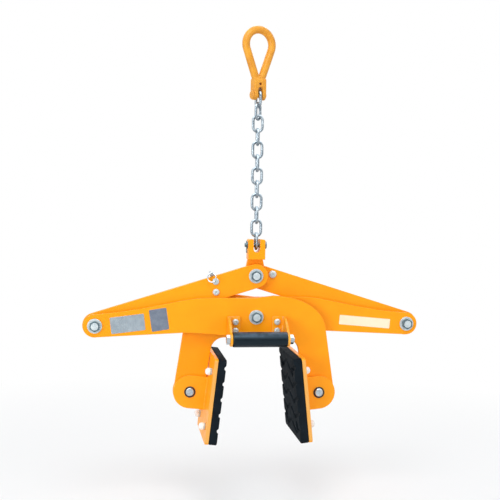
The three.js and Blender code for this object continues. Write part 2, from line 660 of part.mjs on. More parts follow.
// The pad pin, with a retaining ring outside each cheek made one with it
function padPivotPin(layer) {
  const front = layerFront(layer) - layerGap - cheek.thickness - seatGap;
  const back = layerBack(layer) + layerGap + cheek.thickness + seatGap;
  const radius = padPin.diameter / 2;
  const reach = padPin.ringThickness + padPin.proud;
  const profile = [
    [0, front - reach], [radius - edgeBreak, front - reach], [radius, front - reach + edgeBreak],
    [radius, front - padPin.ringThickness], [padPin.ring / 2, front - padPin.ringThickness],
    [padPin.ring / 2, front], [radius, front], [radius, back], [padPin.ring / 2, back],
    [padPin.ring / 2, back + padPin.ringThickness], [radius, back + padPin.ringThickness],
    [radius, back + reach - edgeBreak], [radius - edgeBreak, back + reach], [0, back + reach],
  ];
  return solid(turnedY(profile, 14));
}

for (const [side, name, layer] of [[-1, 'left', 3], [1, 'right', 1]]) {
  const group = addGroup(side * padReach, padZ, -side * pad.tilt);
  const turned = (body) => (side < 0 ? mirrorX(body) : body);
  addPiece(group, `${name}_pad_plate`, turned(padPlate(layer)), yellowPaint());
  addPiece(group, `${name}_pad_rubber`, turned(padRubber()), blackRubber());
  addPiece(group, `${name}_pad_pin`, padPivotPin(layer), brightZinc());
  padBoltPlaces.forEach((place, i) => {
    addPiece(group, `${name}_pad_bolt_${i + 1}`, turned(padFastener(place)), brightZinc());
  });
}

// Handle: a grip sleeve on a rod between two angle brackets bolted to the front jaw
const jawFace = layerFront(1);
const gripY = jawFace - handle.reach;

function handleBracket() {
  const baseBack = jawFace - seatGap;
  const baseBottom = handle.baseTop - handle.baseHeight;
  const profile = new THREE.Shape();
  profile.moveTo(baseBack, baseBottom);
  profile.lineTo(baseBack, handle.baseTop);
  profile.quadraticCurveTo(gripY / 2 + baseBack / 2, handle.baseTop, gripY, handle.endRadius - handle.drop);
  profile.absarc(gripY, -handle.drop, handle.endRadius, Math.PI / 2, 1.5 * Math.PI, false);
  profile.quadraticCurveTo(gripY / 2 + baseBack / 2, -handle.drop - handle.endRadius, baseBack, baseBottom);
  const side = sidePlate(profile, bracketInner, handle.plate, 0, 8);

  const base = box(
    handle.baseWidth, handle.plate, handle.baseHeight,
    bracketOuter - handle.baseWidth / 2, baseBack - handle.plate / 2, (handle.baseTop + baseBottom) / 2,
  );
  const bolts = bracketBolts.filter(([x]) => x > 0);
  return cut(
    join(side, base),
    rodX(handle.rod / 2 + boreGap, bracketInner - overrun, bracketOuter + overrun, gripY, -handle.drop, 14),
    ...bolts.map(([x, z]) =>
      rodY(bracketBolt.diameter / 2 + boreGap, baseBack - handle.plate - overrun, baseBack + overrun, x, z, 12)),
  );
}

function gripSleeve() {
  const half = handle.length / 2;
  const outer = handle.diameter / 2;
  const bore = handle.rod / 2 + boreGap;
  return turnedX([
    [bore, -half], [outer - handle.edge, -half], [outer, handle.edge - half],
    [outer, half - handle.edge], [outer - handle.edge, half], [bore, half], [bore, -half],
  ], 20).translate(0, gripY, -handle.drop);
}

function handleRod() {
  const seat = bracketOuter + seatGap;
  const end = seat + handle.nut;
  return join(
    hexX(handle.flats, -end, -seat, gripY, -handle.drop),
    hexX(handle.flats, seat, end, gripY, -handle.drop),
    rodX(handle.rod / 2, -end + overrun, end + handle.tail, gripY, -handle.drop, 14),
  );
}

const rightBracket = handleBracket();
addPiece(jawGroup, 'left_handle_bracket', mirrorX(rightBracket), yellowPaint());
addPiece(jawGroup, 'right_handle_bracket', rightBracket, yellowPaint());
addPiece(jawGroup, 'handle_grip', gripSleeve(), gripPlastic());
addPiece(jawGroup, 'handle_rod', handleRod(), brightZinc());
bracketBolts.forEach(([x, z], i) => {
  const headSeat = jawFace - seatGap - handle.plate - seatGap;
  const nutSeat = layerBack(1) + seatGap;
  const bolt = join(
    rodY(bracketBolt.head / 2, headSeat - bracketBolt.headHeight, headSeat, x, z, 10),
    rodY(bracketBolt.diameter / 2, headSeat - edgeBreak, nutSeat + bracketBolt.nut + bracketBolt.tail, x, z, 8),
    hexY(bracketBolt.flats, nutSeat, nutSeat + bracketBolt.nut, x, z),
  );
  addPiece(jawGroup, `bracket_bolt_${i + 1}`, bolt, brightZinc());
});

// Hold-open latch: a hooked pawl behind the left link, drawn engaged and turned to its released place
const thumbPlace = [
  -latch.thumbAlong * Math.sin(latch.thumbLean), latch.thumbAlong * Math.cos(latch.thumbLean),
];
const linkFront = layerFront(2);
const thumbEnd = linkFront - latch.thumbReach;

function latchPawl() {
  const front = layerFront(3);
  const shape = new THREE.Shape();
  shape.moveTo(shankRight - latch.shank, footBottom);
  shape.lineTo(footEnd, footBottom);
  shape.lineTo(footEnd, footTop);
  shape.lineTo(shankRight, footTop);
  shape.lineTo(shankRight, -latch.hub);
  shape.lineTo(latch.hub * Math.SQRT1_2, -latch.hub * Math.SQRT1_2);
  shape.absarc(0, 0, latch.hub, -Math.PI / 4, Math.PI / 2 - latch.thumbLean, false);
  shape.absarc(...thumbPlace, latch.thumb, Math.PI / 4, Math.PI, false);
  shape.lineTo(-latch.hub, 0);
  shape.lineTo(shankRight - latch.shank, -latch.hub);
  return cut(
    join(
      plate(shape, front, latch.thickness, 0, 8),
      rodY(latch.thumb, thumbEnd, front + edgeBreak, ...thumbPlace, 12),
    ),
    rodY(latch.bolt / 2 + boreGap, front - overrun, front + latch.thickness + overrun, 0, 0, 12),
    rodX(latch.wire / 2 + latch.ringPlay, -latch.hub, latch.hub, 0, 0, 8)
      .rotateZ(latch.ringTurn).translate(thumbPlace[0], thumbEnd + latch.thumb, thumbPlace[1]),
  );
}

function pullRing() {
  const count = 16;
  const points = Array.from({ length: count }, (_, i) => {
    const angle = (2 * Math.PI * i) / count;
    return new THREE.Vector3(latch.ring * Math.cos(angle), 0, latch.ring * Math.sin(angle));
  });
  return loopTube(points, new THREE.Vector3(0, 1, 0), latch.wire / 2, 6);
}

function latchBolt(backFace) {
  const headSeat = linkFront - seatGap;
  return [
    rodY(latch.head / 2, headSeat - latch.headHeight, headSeat, 0, 0, 16),
    rodY(latch.bolt / 2, headSeat - edgeBreak, backFace, 0, 0, 14),
  ];
}

const pawlGroup = addGroup(pawlX, pawlZ);
const pawl = addPiece(pawlGroup, 'latch_pawl', latchPawl(), brightZinc());
pawl.rotation.y = latch.swing;
const pawlBack = layerFront(3) + latch.thickness + seatGap;
addPiece(pawlGroup, 'latch_pivot_bolt', join(
  ...latchBolt(pawlBack + latch.nut + latch.tail),
  hexY(latch.nutFlats, pawlBack, pawlBack + latch.nut),
), brightZinc());
addPiece(addGroup(stopX, stopZ), 'latch_stop_bolt', join(...latchBolt(layerFront(3) + latch.thickness)), brightZinc());

const thumbX = thumbPlace[0] * Math.cos(latch.swing) + thumbPlace[1] * Math.sin(latch.swing);
const thumbZ = thumbPlace[1] * Math.cos(latch.swing) - thumbPlace[0] * Math.sin(latch.swing);
const ring = addPiece(pawlGroup, 'latch_ring', pullRing(), brightZinc());
ring.rotation.z = latch.ringTurn;
ring.position.set(thumbX, thumbEnd + latch.thumb, thumbZ - latch.ring + latch.ringPlay / 2);

export default clamp;
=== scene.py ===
# %% [markdown]
# # A scissor clamp for slabs and blocks, hanging open from its master link
#
# The real clamp is a simple machine. Two bell cranks cut from plate cross at a centre bolt, two flat links
# carry their outer ends, and the weight of the load closes them. Most of it is flame-cut and laser-cut plate
# with a powder coat, so this lesson is mostly about clean outlines, small rounded edges and good paint. The
# rest is forged, turned or moulded, and each of those has its own way of being modelled.
#
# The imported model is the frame: it says where each piece is. Every piece made here goes over the node that it
# replaces, at the same place and size, and rides on the same body.

import json
import math

import bmesh
import bpy
from mathutils import Matrix, Vector

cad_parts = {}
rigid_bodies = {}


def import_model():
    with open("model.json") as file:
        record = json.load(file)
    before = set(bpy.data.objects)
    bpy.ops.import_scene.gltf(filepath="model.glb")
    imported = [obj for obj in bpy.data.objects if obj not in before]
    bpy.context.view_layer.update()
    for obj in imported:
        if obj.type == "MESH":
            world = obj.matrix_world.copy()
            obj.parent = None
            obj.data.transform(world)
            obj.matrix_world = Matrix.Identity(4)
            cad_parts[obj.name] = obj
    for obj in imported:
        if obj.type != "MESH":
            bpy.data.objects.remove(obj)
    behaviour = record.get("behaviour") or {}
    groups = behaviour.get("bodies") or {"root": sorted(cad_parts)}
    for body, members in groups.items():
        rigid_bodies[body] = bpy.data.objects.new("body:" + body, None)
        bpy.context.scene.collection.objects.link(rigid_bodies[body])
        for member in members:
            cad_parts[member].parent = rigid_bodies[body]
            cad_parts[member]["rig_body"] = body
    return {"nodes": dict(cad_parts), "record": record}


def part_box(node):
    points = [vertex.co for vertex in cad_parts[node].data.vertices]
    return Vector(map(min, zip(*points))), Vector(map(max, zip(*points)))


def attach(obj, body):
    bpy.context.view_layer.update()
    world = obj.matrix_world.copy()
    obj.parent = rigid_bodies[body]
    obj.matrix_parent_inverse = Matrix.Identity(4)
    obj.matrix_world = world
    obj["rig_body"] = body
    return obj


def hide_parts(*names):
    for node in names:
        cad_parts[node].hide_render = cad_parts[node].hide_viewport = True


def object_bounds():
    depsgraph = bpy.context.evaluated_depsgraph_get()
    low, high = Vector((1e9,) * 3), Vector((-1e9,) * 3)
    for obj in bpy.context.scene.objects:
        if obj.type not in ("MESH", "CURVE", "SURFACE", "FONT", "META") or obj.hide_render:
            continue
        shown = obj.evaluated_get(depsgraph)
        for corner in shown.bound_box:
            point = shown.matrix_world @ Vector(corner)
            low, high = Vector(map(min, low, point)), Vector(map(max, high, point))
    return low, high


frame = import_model()
cad_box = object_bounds()
MM = 0.001


# %% [markdown]
# ## Places
#
# Nothing is measured twice. A pivot's place is the middle of its washer in the frame, and a plate's layer is
# the depth of its node. Only the sizes that a box can't tell, such as the radii of an outline, are written out.

# %% Read places from the frame
def middle(node):
    low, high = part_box(node)
    return (low + high) / 2


def depth_of(node):
    low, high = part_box(node)
    return low.y, high.y


top, centre = middle("top_pivot_washer"), middle("centre_pivot_washer")
right_outer = middle("right_outer_pivot_washer")
left_pad_pivot, right_pad_pivot = middle("left_pad_pin"), middle("right_pad_pin")
front_low, front_high = depth_of("front_jaw")
rear_low, rear_high = depth_of("rear_jaw")
seat_gap, bore_gap, layer_gap = 0.3 * MM, 0.35 * MM, 0.4 * MM
print("top pivot", top, "centre pivot", centre)


# %% [markdown]
# ## Camera, light and floor
#
# The clamp was photographed hanging, from a little left of straight ahead and almost level, and it leans a
# degree clockwise in the picture. The lamps are large and weak, because a powder coat looks like one only when
# it has soft, wide highlights. Bright metal mirrors the white backdrop and the lit ceiling, and the dim room on
# the side that the picture was taken from, which is what gives zinc its dark faces. The floor is a pale disc
# well below the pads that turns white away from the clamp, so no horizon shows.

# %% Helpers for objects, places and node trees
def show(name, data):
    piece = bpy.data.objects.new(name, data)
    bpy.context.scene.collection.objects.link(piece)
    return piece


def shown(name, shape):
    """A new object made from a bmesh, which is freed."""
    mesh = bpy.data.meshes.new(name)
    shape.to_mesh(mesh)
    shape.free()
    return show(name, mesh)


def shift(x=0, y=0, z=0):
    return Matrix.Translation((x, y, z))


def spin(axis, degrees):
    return Matrix.Rotation(math.radians(degrees), 4, axis)


def feed(tree, node, feeds):
    """Fills inputs with a value, with a node's first output, or with a node and the output that is meant."""
    for socket, source in feeds.items():
        origin, output = source if isinstance(source, tuple) and len(source) == 2 else (source, 0)
        if isinstance(origin, bpy.types.Node):
            tree.links.new(origin.outputs[output], node.inputs[socket])
        else:
            node.inputs[socket].default_value = source


def put(tree, kind, feeds=None, **settings):
    """Adds a node, sets its own properties and, by name, the values of its inputs, and feeds the others."""
    node = tree.nodes.new(kind if kind.startswith("NodeGroup") else "ShaderNode" + kind)
    for key, value in settings.items():
        if hasattr(node, key):
            setattr(node, key, value)
        else:
            node.inputs[key.replace("_", " ")].default_value = value
    feed(tree, node, feeds or {})
    return node


def ranged(tree, source, low, high, **settings):
    return put(tree, "MapRange", {"Value": source}, From_Min=low, From_Max=high, **settings)


def math_node(tree, operation, one, two=0.5, **settings):
    return put(tree, "Math", {0: one, 1: two}, operation=operation, **settings)


def new_material(name):
    material = bpy.data.materials.new(name)
    material.use_nodes = True
    return material, material.node_tree, material.node_tree.nodes["Principled BSDF"]


# %% Camera
view_place = Vector((-299.7, -1987.6, -382.7)) * MM
view_azimuth, view_elevation, view_roll = 8.2, 2.73, 0.89  # in degrees
focal_pixels, frame_pixels = 900.8, 500
camera_data = bpy.data.cameras.new("camera")
camera_data.sensor_width = 36
camera_data.lens = camera_data.sensor_width * focal_pixels / frame_pixels
camera = show("camera", camera_data)
turn = spin("Z", -view_azimuth) @ spin("X", 90 - view_elevation) @ spin("Z", view_roll)
camera.matrix_world = shift(*view_place) @ turn
bpy.context.scene.camera = camera
bpy.context.scene.view_settings.view_transform = "Standard"
print("camera lens", round(camera_data.lens, 2), "mm")

# %% World: one light for lighting, one for mirroring, white for the camera
WHITE = (1, 1, 1, 1)
world = bpy.data.worlds.new("studio")
world.use_nodes = True
bpy.context.scene.world = world
sky = world.node_tree
sky.nodes.clear()
rays = put(sky, "LightPath")
toward = put(sky, "TexCoord")
split = put(sky, "SeparateXYZ", {0: (toward, "Generated")})
behind = ranged(sky, (split, "Y"), -0.75, -0.05, To_Min=0.14, To_Max=1)
overhead = ranged(sky, (split, "Z"), 0.05, 0.6, To_Min=0.06, To_Max=2.6)
studio_light = math_node(sky, "MAXIMUM", behind, overhead)
fill_light = put(sky, "Background", Color=(0.94, 0.97, 1, 1), Strength=0.66)
mirrored_light = put(sky, "Background", {"Strength": studio_light}, Color=WHITE)
backdrop = put(sky, "Background", Color=WHITE, Strength=1)
mirrored_ray = math_node(sky, "MAXIMUM", (rays, "Is Glossy Ray"), (rays, "Is Transmission Ray"))
lit = put(sky, "MixShader", {0: mirrored_ray, 1: fill_light, 2: mirrored_light})
seen = put(sky, "MixShader", {0: (rays, "Is Camera Ray"), 1: lit, 2: backdrop})
put(sky, "OutputWorld", {0: seen})

# %% Lamps: place in metres, width in metres, power in watts
lamps = {
    "key": ((-2.0, -2.0, -0.2), 1.4, 30), "fill": ((1.9, -1.5, -0.2), 1.6, 6),
    "overhead": ((-0.2, -1.1, 1.0), 1.0, 12), "back": ((0.6, 2.2, 0.9), 1.6, 12),
}
for name, (place, width, power) in lamps.items():
    data = bpy.data.lights.new(name, "AREA")
    data.shape, data.size, data.energy = "DISK", width, power
    lamp = show(name, data)
    lamp.location = place
    lamp.rotation_euler = (centre - Vector(place)).to_track_quat("-Z", "Y").to_euler()
print("lamps:", sorted(lamps))

# %% Floor
floor_drop, floor_radius = 0.16, 6
shadow_start, shadow_end = 0.35, 1.6
disc = bmesh.new()
floor_place = shift(z=cad_box[0].z - floor_drop)
bmesh.ops.create_circle(disc, cap_ends=True, segments=96, radius=floor_radius, matrix=floor_place)
floor = shown("floor", disc)

floor_paint, tree, shader = new_material("pale_floor")
feed(tree, shader, {"Base Color": (0.86, 0.86, 0.86, 1), "Roughness": 0.6})
place = put(tree, "TexCoord")
flat = put(tree, "VectorMath", {0: (place, "Object"), 1: (1, 1, 0)}, operation="MULTIPLY")
length = put(tree, "VectorMath", {0: flat}, operation="LENGTH")
away = ranged(tree, (length, "Value"), shadow_start, shadow_end)
glow = put(tree, "Emission", Color=WHITE, Strength=1)
fade = put(tree, "MixShader", {0: away, 1: shader, 2: glow})
feed(tree, tree.nodes["Material Output"], {"Surface": fade})
floor.data.materials.append(floor_paint)
print("floor at", round(cad_box[0].z - floor_drop, 3), "m")


# %% [markdown]
# ## Effects that several finishes share
#
# A powder coat, a forging and a zinc plate all need the same few things: a fine relief, a colour that isn't
# quite even, edges with a colour of their own, which is partly thin finish and partly a painted highlight,
# dust on what faces up, which on the grip is a painted sheen, and a painted highlight as a paler rim on narrow
# sides. Each is a node group, built once, with its strength and scale as inputs, so a material is a short list
# of how much of each it has.

# %% Group tools
FLOAT, COLOR, VECTOR = "NodeSocketFloat", "NodeSocketColor", "NodeSocketVector"


def new_group(name, **inputs):
    """A shader node group with its inputs and their values, and the node that gives them."""
    group = bpy.data.node_groups.new(name, "ShaderNodeTree")
    for label, value in inputs.items():
        kind = COLOR if isinstance(value, tuple) else FLOAT
        socket = group.interface.new_socket(label.replace("_", " "), in_out="INPUT", socket_type=kind)
        socket.default_value = value
    return group, put(group, "NodeGroupInput")


def give(group, kind, label, source):
    """Ends a group with its one output."""
    group.interface.new_socket(label, in_out="OUTPUT", socket_type=kind)
    put(group, "NodeGroupOutput", {label: source})


def grain(group, start, **settings):
    """Noise over the object, as coarse as the group's size says."""
    coords = put(group, "TexCoord")
    per_metre = math_node(group, "DIVIDE", 1000, (start, "Size mm"))
    return put(group, "TexNoise", {"Vector": (coords, "Object"), "Scale": per_metre}, **settings)


def mixed(tree, share, one, other):
    return put(tree, "Mix", {0: share, 6: one, 7: other}, data_type="RGBA"), 2


# %% Relief: a fine bump, coarse and fine noise together
relief, start = new_group("relief", Size_mm=1.0, Height_mm=0.02, Fineness=2.0)
noise = grain(relief, start, Roughness=0.55)
feed(relief, noise, {"Detail": (start, "Fineness")})
tall = math_node(relief, "MULTIPLY", (start, "Height mm"), MM)
give(relief, VECTOR, "Normal", put(relief, "Bump", {"Distance": tall, "Height": noise}, Strength=1))

# %% Uneven: one colour that drifts to another in soft patches
uneven, start = new_group("uneven", Color=WHITE, Other=(0, 0, 0, 1), Size_mm=40.0, Amount=0.3)
patches = ranged(uneven, grain(uneven, start, Detail=4, Roughness=0.6), 0.35, 0.65)
share = math_node(uneven, "MULTIPLY", patches, (start, "Amount"))
give(uneven, COLOR, "Color", mixed(uneven, share, (start, "Color"), (start, "Other")))

# %% Edges: where two faces meet within a radius, broken up by noise
edges, start = new_group("edges", Radius_mm=1.0, Amount=0.5, Size_mm=8.0)
reach = math_node(edges, "MULTIPLY", (start, "Radius mm"), MM)
rounded = put(edges, "Bevel", {"Radius": reach}, samples=4)
surface = put(edges, "NewGeometry")
agree = put(edges, "VectorMath", {0: rounded, 1: (surface, "Normal")}, operation="DOT_PRODUCT")
bend = ranged(edges, (agree, "Value"), 0.985, 0.85)
chips = ranged(edges, grain(edges, start, Detail=5, Roughness=0.65), 0.45, 0.7)
chipped = math_node(edges, "MULTIPLY", bend, chips)
give(edges, FLOAT, "Mask", math_node(edges, "MULTIPLY", chipped, (start, "Amount"), use_clamp=True))

# %% Dust and sheen: on what faces up, in soft patches; real dust on most finishes, a painted sheen on the grip
dust, start = new_group("dust", Amount=0.2, Size_mm=25.0)
surface = put(dust, "NewGeometry")
split = put(dust, "SeparateXYZ", {0: (surface, "Normal")})
upward = ranged(dust, (split, "Z"), 0.3, 1)
patches = ranged(dust, grain(dust, start, Detail=6, Roughness=0.7), 0.4, 0.65)
both = math_node(dust, "MULTIPLY", upward, patches)
give(dust, FLOAT, "Mask", math_node(dust, "MULTIPLY", both, (start, "Amount"), use_clamp=True))

# %% Rim: a painted highlight on what lies further from the middle plane than a distance, such as a plate's narrow sides
rim, start = new_group("rim", From_mm=90.0)
coords = put(rim, "TexCoord")
split = put(rim, "SeparateXYZ", {0: (coords, "Object")})
away = math_node(rim, "ABSOLUTE", (split, "Y"))
reach = math_node(rim, "MULTIPLY", (start, "From mm"), MM)
give(rim, FLOAT, "Mask", math_node(rim, "GREATER_THAN", away, reach))
print("effects:", [group.name for group in bpy.data.node_groups])


# %% [markdown]
# ## Finishes
#
# Each finish on the clamp is one material. The plates have an orange-yellow powder coat, painted paler on edges,
# welds and narrow sides as a painted highlight, and the forged master link has a satin ochre paint. Zinc comes in
# four kinds: bright on pins and nuts, satin on washers and bolts, darkened on the pivot bolts and the lug pin, and
# heavy on the chain. On the pivot bolts the dark head is painted shade and their pale face is a painted highlight.
# The pads' nuts have caps painted near-white, as a painted highlight. Blackened steel, moulded rubber, satin
# plastic with a painted sheen on top and the three blank plates are the rest. One function builds all of them
# from the shared effects, because they differ in numbers and not in kind. Colours are written as the eye sees
# them and turned to linear values once.

# %% One function for all finishes
finishes = {}


def linear(red, green, blue):
    """An sRGB colour from 0 to 255, as the linear colour that a shader takes."""
    def one(value):
        share = value / 255
        return share / 12.92 if share <= 0.04045 else ((share + 0.055) / 1.055) ** 2.4
    return (one(red), one(green), one(blue), 1)


def finish(name, color, other, edge_color, patch, roughness, relief_mm, vary=0.6, metallic=0, edge_amount=0.6,
           edge_reach=1.6, dust_and_sheen_amount=0, dust_and_sheen_color=(206, 196, 178), coat=0, fineness=2, specular=0.5,
           gloss_color=WHITE, rim_highlight_from=None):
    """relief_mm is the size and the height of the surface's grain."""
    material, tree, shader = new_material(name)

    def use(group, **values):
        return put(tree, "Group", node_tree=group, **values)

    body = use(uneven, Color=linear(*color), Other=linear(*other), Size_mm=patch, Amount=vary)
    # Edge colour: partly a thinner finish at edges, partly a painted highlight along lit edges
    edge_wear_and_highlight = use(edges, Radius_mm=edge_reach, Amount=edge_amount, Size_mm=9)
    if rim_highlight_from:
        edge_wear_and_highlight = math_node(tree, "MAXIMUM", edge_wear_and_highlight, use(rim, From_mm=rim_highlight_from))
    at_edge = mixed(tree, edge_wear_and_highlight, body, linear(*edge_color))
    dust_and_sheen_mixed = mixed(tree, use(dust, Amount=dust_and_sheen_amount, Size_mm=22), at_edge, linear(*dust_and_sheen_color))
    coords = put(tree, "TexCoord")
    smear = put(tree, "TexNoise", {"Vector": (coords, "Object")}, Scale=60, Detail=5, Roughness=0.6)
    rough = ranged(tree, smear, 0.35, 0.65, To_Min=roughness - 0.08, To_Max=roughness + 0.08)
    size, height = relief_mm
    feed(tree, shader, {
        "Base Color": dust_and_sheen_mixed, "Metallic": metallic, "Roughness": rough, "Coat Weight": coat, "Coat Roughness": 0.12,
        "Specular IOR Level": specular, "Specular Tint": gloss_color,
        "Normal": use(relief, Size_mm=size, Height_mm=height, Fineness=fineness)})
    finishes[name] = material


# %% The clamp's finishes
# Painted highlight: each paint's pale edge colour stands for light along its edges, besides a little wear. On the
# welded brackets it spreads wide, and the pad paint adds a pale rim on the pad plates' narrow sides.
powder_coat = dict(patch=60, roughness=0.42, relief_mm=(2.6, 0.018), vary=0.5, dust_and_sheen_amount=0.05, coat=0.05,
                   specular=0.2)
finish("yellow_paint", (253, 160, 8), (247, 150, 5), (255, 206, 110), edge_amount=0.9, **powder_coat)
finish("welded_paint", (253, 166, 24), (248, 156, 14), (240, 188, 112), edge_amount=3, edge_reach=4.5, **powder_coat)
finish("pad_paint", (253, 166, 24), (248, 156, 14), (232, 167, 82), edge_amount=1, edge_reach=2, rim_highlight_from=93,
       **powder_coat)
finish("ochre_paint", (221, 154, 42), (197, 124, 27), (250, 206, 120), 22, 0.42, (3.4, 0.01), vary=0.7,
       edge_amount=0.8, coat=0.05, fineness=3, specular=0.35)
finish("bright_zinc", (200, 210, 216), (160, 176, 190), (230, 236, 240), 9, 0.27, (1.1, 0.008), metallic=1,
       edge_amount=0.8)
finish("satin_zinc", (206, 216, 218), (172, 186, 192), (240, 244, 246), 7, 0.5, (1.1, 0.01), vary=0.7,
       metallic=0.35, edge_amount=0.8)
# Darkened zinc: on the pivot bolts a painted shade, for the dark ring round each lit head
finish("dull_zinc", (104, 123, 131), (76, 95, 105), (120, 138, 146), 6, 0.38, (1.1, 0.01), vary=0.7,
       metallic=0.7, edge_amount=0.5)
finish("chain_zinc", (170, 181, 188), (112, 126, 138), (224, 230, 235), 6, 0.3, (1.6, 0.03), vary=0.8,
       metallic=1, edge_amount=0.4, fineness=3)
# Painted highlight: near-white caps stand for the glare on the pads' nuts
finish("cap_enamel", (246, 246, 244), (226, 228, 228), (250, 250, 250), 5, 0.3, (1.1, 0.006), edge_amount=0.3)
finish("dark_steel", (70, 66, 62), (44, 42, 41), (120, 116, 110), 10, 0.5, (1.2, 0.02), vary=0.8, metallic=0.7,
       dust_and_sheen_amount=0.1)
finish("pad_rubber", (25, 32, 38), (17, 22, 26), (42, 48, 54), 30, 0.8, (0.9, 0.03), vary=0.7, edge_amount=0.3,
       fineness=4, specular=0.04)
# Painted sheen: the grip's bluish colour on what faces up stands for the reflection of the light above
finish("grip_plastic", (5, 7, 10), (3, 4, 7), (44, 50, 60), 30, 0.36, (1.4, 0.01), edge_amount=0.4,
       dust_and_sheen_amount=0.3, dust_and_sheen_color=(120, 146, 178), specular=0.42, gloss_color=(0.5, 0.78, 1, 1))
finish("bare_plate", (167, 179, 187), (146, 159, 170), (226, 231, 236), 12, 0.4, (0.8, 0.006), metallic=0.6)
finish("dull_plate", (126, 136, 151), (106, 117, 134), (206, 212, 220), 9, 0.45, (0.8, 0.006), vary=0.8,
       metallic=0.5)
finish("cream_film", (243, 229, 198), (236, 219, 182), (255, 250, 236), 30, 0.4, (1.2, 0.006), edge_amount=0.3,
       dust_and_sheen_amount=0.04)
slot_of = {part["node"]: part["material_slot"] for part in frame["record"]["subparts"]}
print("finishes:", sorted(finishes))


# %% [markdown]
# ## Tools for making pieces
#
# A clamp is made by a few processes, and each has a function here: plate is cut to an outline, bar is bent,
# bolts are turned, and forgings are pressed from a rough block. An outline is a Bezier spline, because a cutter's
# path is exactly that: straight lines, arcs and a few free curves. A flat curve in Blender fills itself, takes
# inner splines as holes and rounds its own edges, which a mesh would need three operators for. Each piece is
# named after the node that it stands for and the way it is made.

# %% Outlines
class Outline:
    """One closed line in a plane, drawn from straight, round and free stretches."""

    def __init__(self, *corners):
        self.knots = []  # place, handle behind, handle ahead
        self.line(*corners)

    def line(self, *corners):
        self.knots += [[Vector(corner), None, None] for corner in corners]
        return self

    def curve(self, one, two, place):
        self.knots[-1][2] = Vector(one)
        self.knots.append([Vector(place), Vector(two), None])
        return self

    def arc(self, x, z, radius, start, end):
        """A round stretch between two angles in degrees, joined straight to what is before it."""
        pieces = math.ceil(abs(end - start) / 90)
        step = math.radians(end - start) / pieces
        reach = 4 / 3 * math.tan(step / 4) * radius
        for i in range(pieces + 1):
            angle = math.radians(start) + i * step
            place = Vector((x + radius * math.cos(angle), z + radius * math.sin(angle)))
            along = Vector((-math.sin(angle), math.cos(angle))) * reach
            if i == 0 and not (self.knots and (self.knots[-1][0] - place).length < 0.01 * MM):
                self.knots.append([place, None, None])
            elif i > 0:
                self.knots.append([place, place - along, None])
            if i < pieces:
                self.knots[-1][2] = place + along
        return self

    def add_to(self, curve):
        knots = self.knots
        if (knots[0][0] - knots[-1][0]).length < 0.01 * MM:
            knots[0][1] = knots[-1][1]
            knots = knots[:-1]
        spline = curve.splines.new("BEZIER")
        spline.bezier_points.add(len(knots) - 1)
        spline.use_cyclic_u = True
        for point, (place, behind, forward) in zip(spline.bezier_points, knots):
            point.co = place.to_3d()
            point.handle_left_type = "VECTOR" if behind is None else "FREE"
            point.handle_right_type = "VECTOR" if forward is None else "FREE"
            if behind is not None:
                point.handle_left = behind.to_3d()
            if forward is not None:
                point.handle_right = forward.to_3d()


def hole(x, z, diameter):
    return Outline().arc(x, z, diameter / 2, 0, 360)


def rounded_box(left, right, low, high, r):
    line = Outline().arc(right - r, high - r, r, 0, 90).arc(left + r, high - r, r, 90, 180)
    return line.arc(left + r, low + r, r, 180, 270).arc(right - r, low + r, r, 270, 360)


def soft_block(half, low, high, crown, blunt):
    """A block whose two upper corners are free curves: crown is their size, blunt how full they are."""
    line = Outline((-half, low), (half, low), (half, high - crown))
    line.curve((half, high - blunt), (half - blunt, high), (half - crown, high)).line((crown - half, high))
    return line.curve((blunt - half, high), (-half, high - blunt), (-half, high - crown))


# %% Meshes from curves and modifiers
ACROSS = spin("Z", -90)  # turned along Y, laid along X
STANDING = spin("X", 90)  # drawn in X and Z, thickness along Y
SIDEWAYS = Matrix(((0, 0, 1, 0), (1, 0, 0, 0), (0, 1, 0, 0), (0, 0, 0, 1)))  # drawn in Y and Z, thickness along X


def solidified(piece):
    """The piece's curve or modifiers turned into its own plain mesh."""
    bpy.context.view_layer.update()
    mesh = bpy.data.meshes.new_from_object(piece.evaluated_get(bpy.context.evaluated_depsgraph_get()))
    name = piece.name
    bpy.data.objects.remove(piece)
    return show(name, mesh)


def tidy(piece):
    """Closes seams and turns the faces outwards."""
    near = 0.01 * MM
    shape = bmesh.new()
    shape.from_mesh(piece.data)
    bmesh.ops.remove_doubles(shape, verts=shape.verts, dist=near)
    bmesh.ops.dissolve_degenerate(shape, edges=shape.edges, dist=near / 2)
    bmesh.ops.recalc_face_normals(shape, faces=shape.faces)
    shape.to_mesh(piece.data)
    shape.free()
    return piece


def new_curve(name, radius, sides, smoothness=12):
    """A curve in space with a round section, still without a line."""
    curve = bpy.data.curves.new(name, "CURVE")
    curve.dimensions = "3D"
    curve.resolution_u = smoothness
    curve.bevel_depth = radius
    curve.bevel_resolution = sides
    return curve


def made(name, curve, *steps):
    return tidy(moved(solidified(show(name, curve)), *steps))


def plate(name, outlines, low, high, edge=0.8 * MM, lie=STANDING):
    """Flat plate from low to high, cut to an outline, with holes, its edges rounded."""
    curve = new_curve(name, edge, 2, smoothness=14)
    curve.dimensions = "2D"
    curve.fill_mode = "BOTH"
    curve.extrude = (high - low) / 2 - edge
    curve.offset = -edge
    for outline in outlines:
        outline.add_to(curve)
    half_way = (low + high) / 2
    return moved(made(name, curve, lie), shift(y=half_way) if lie is STANDING else shift(x=half_way))


def bent_bar(name, outline, radius, smoothness=12, sides=5):
    """A round bar bent along a closed line."""
    curve = new_curve(name, radius, sides, smoothness)
    outline.add_to(curve)
    return made(name, curve, STANDING)


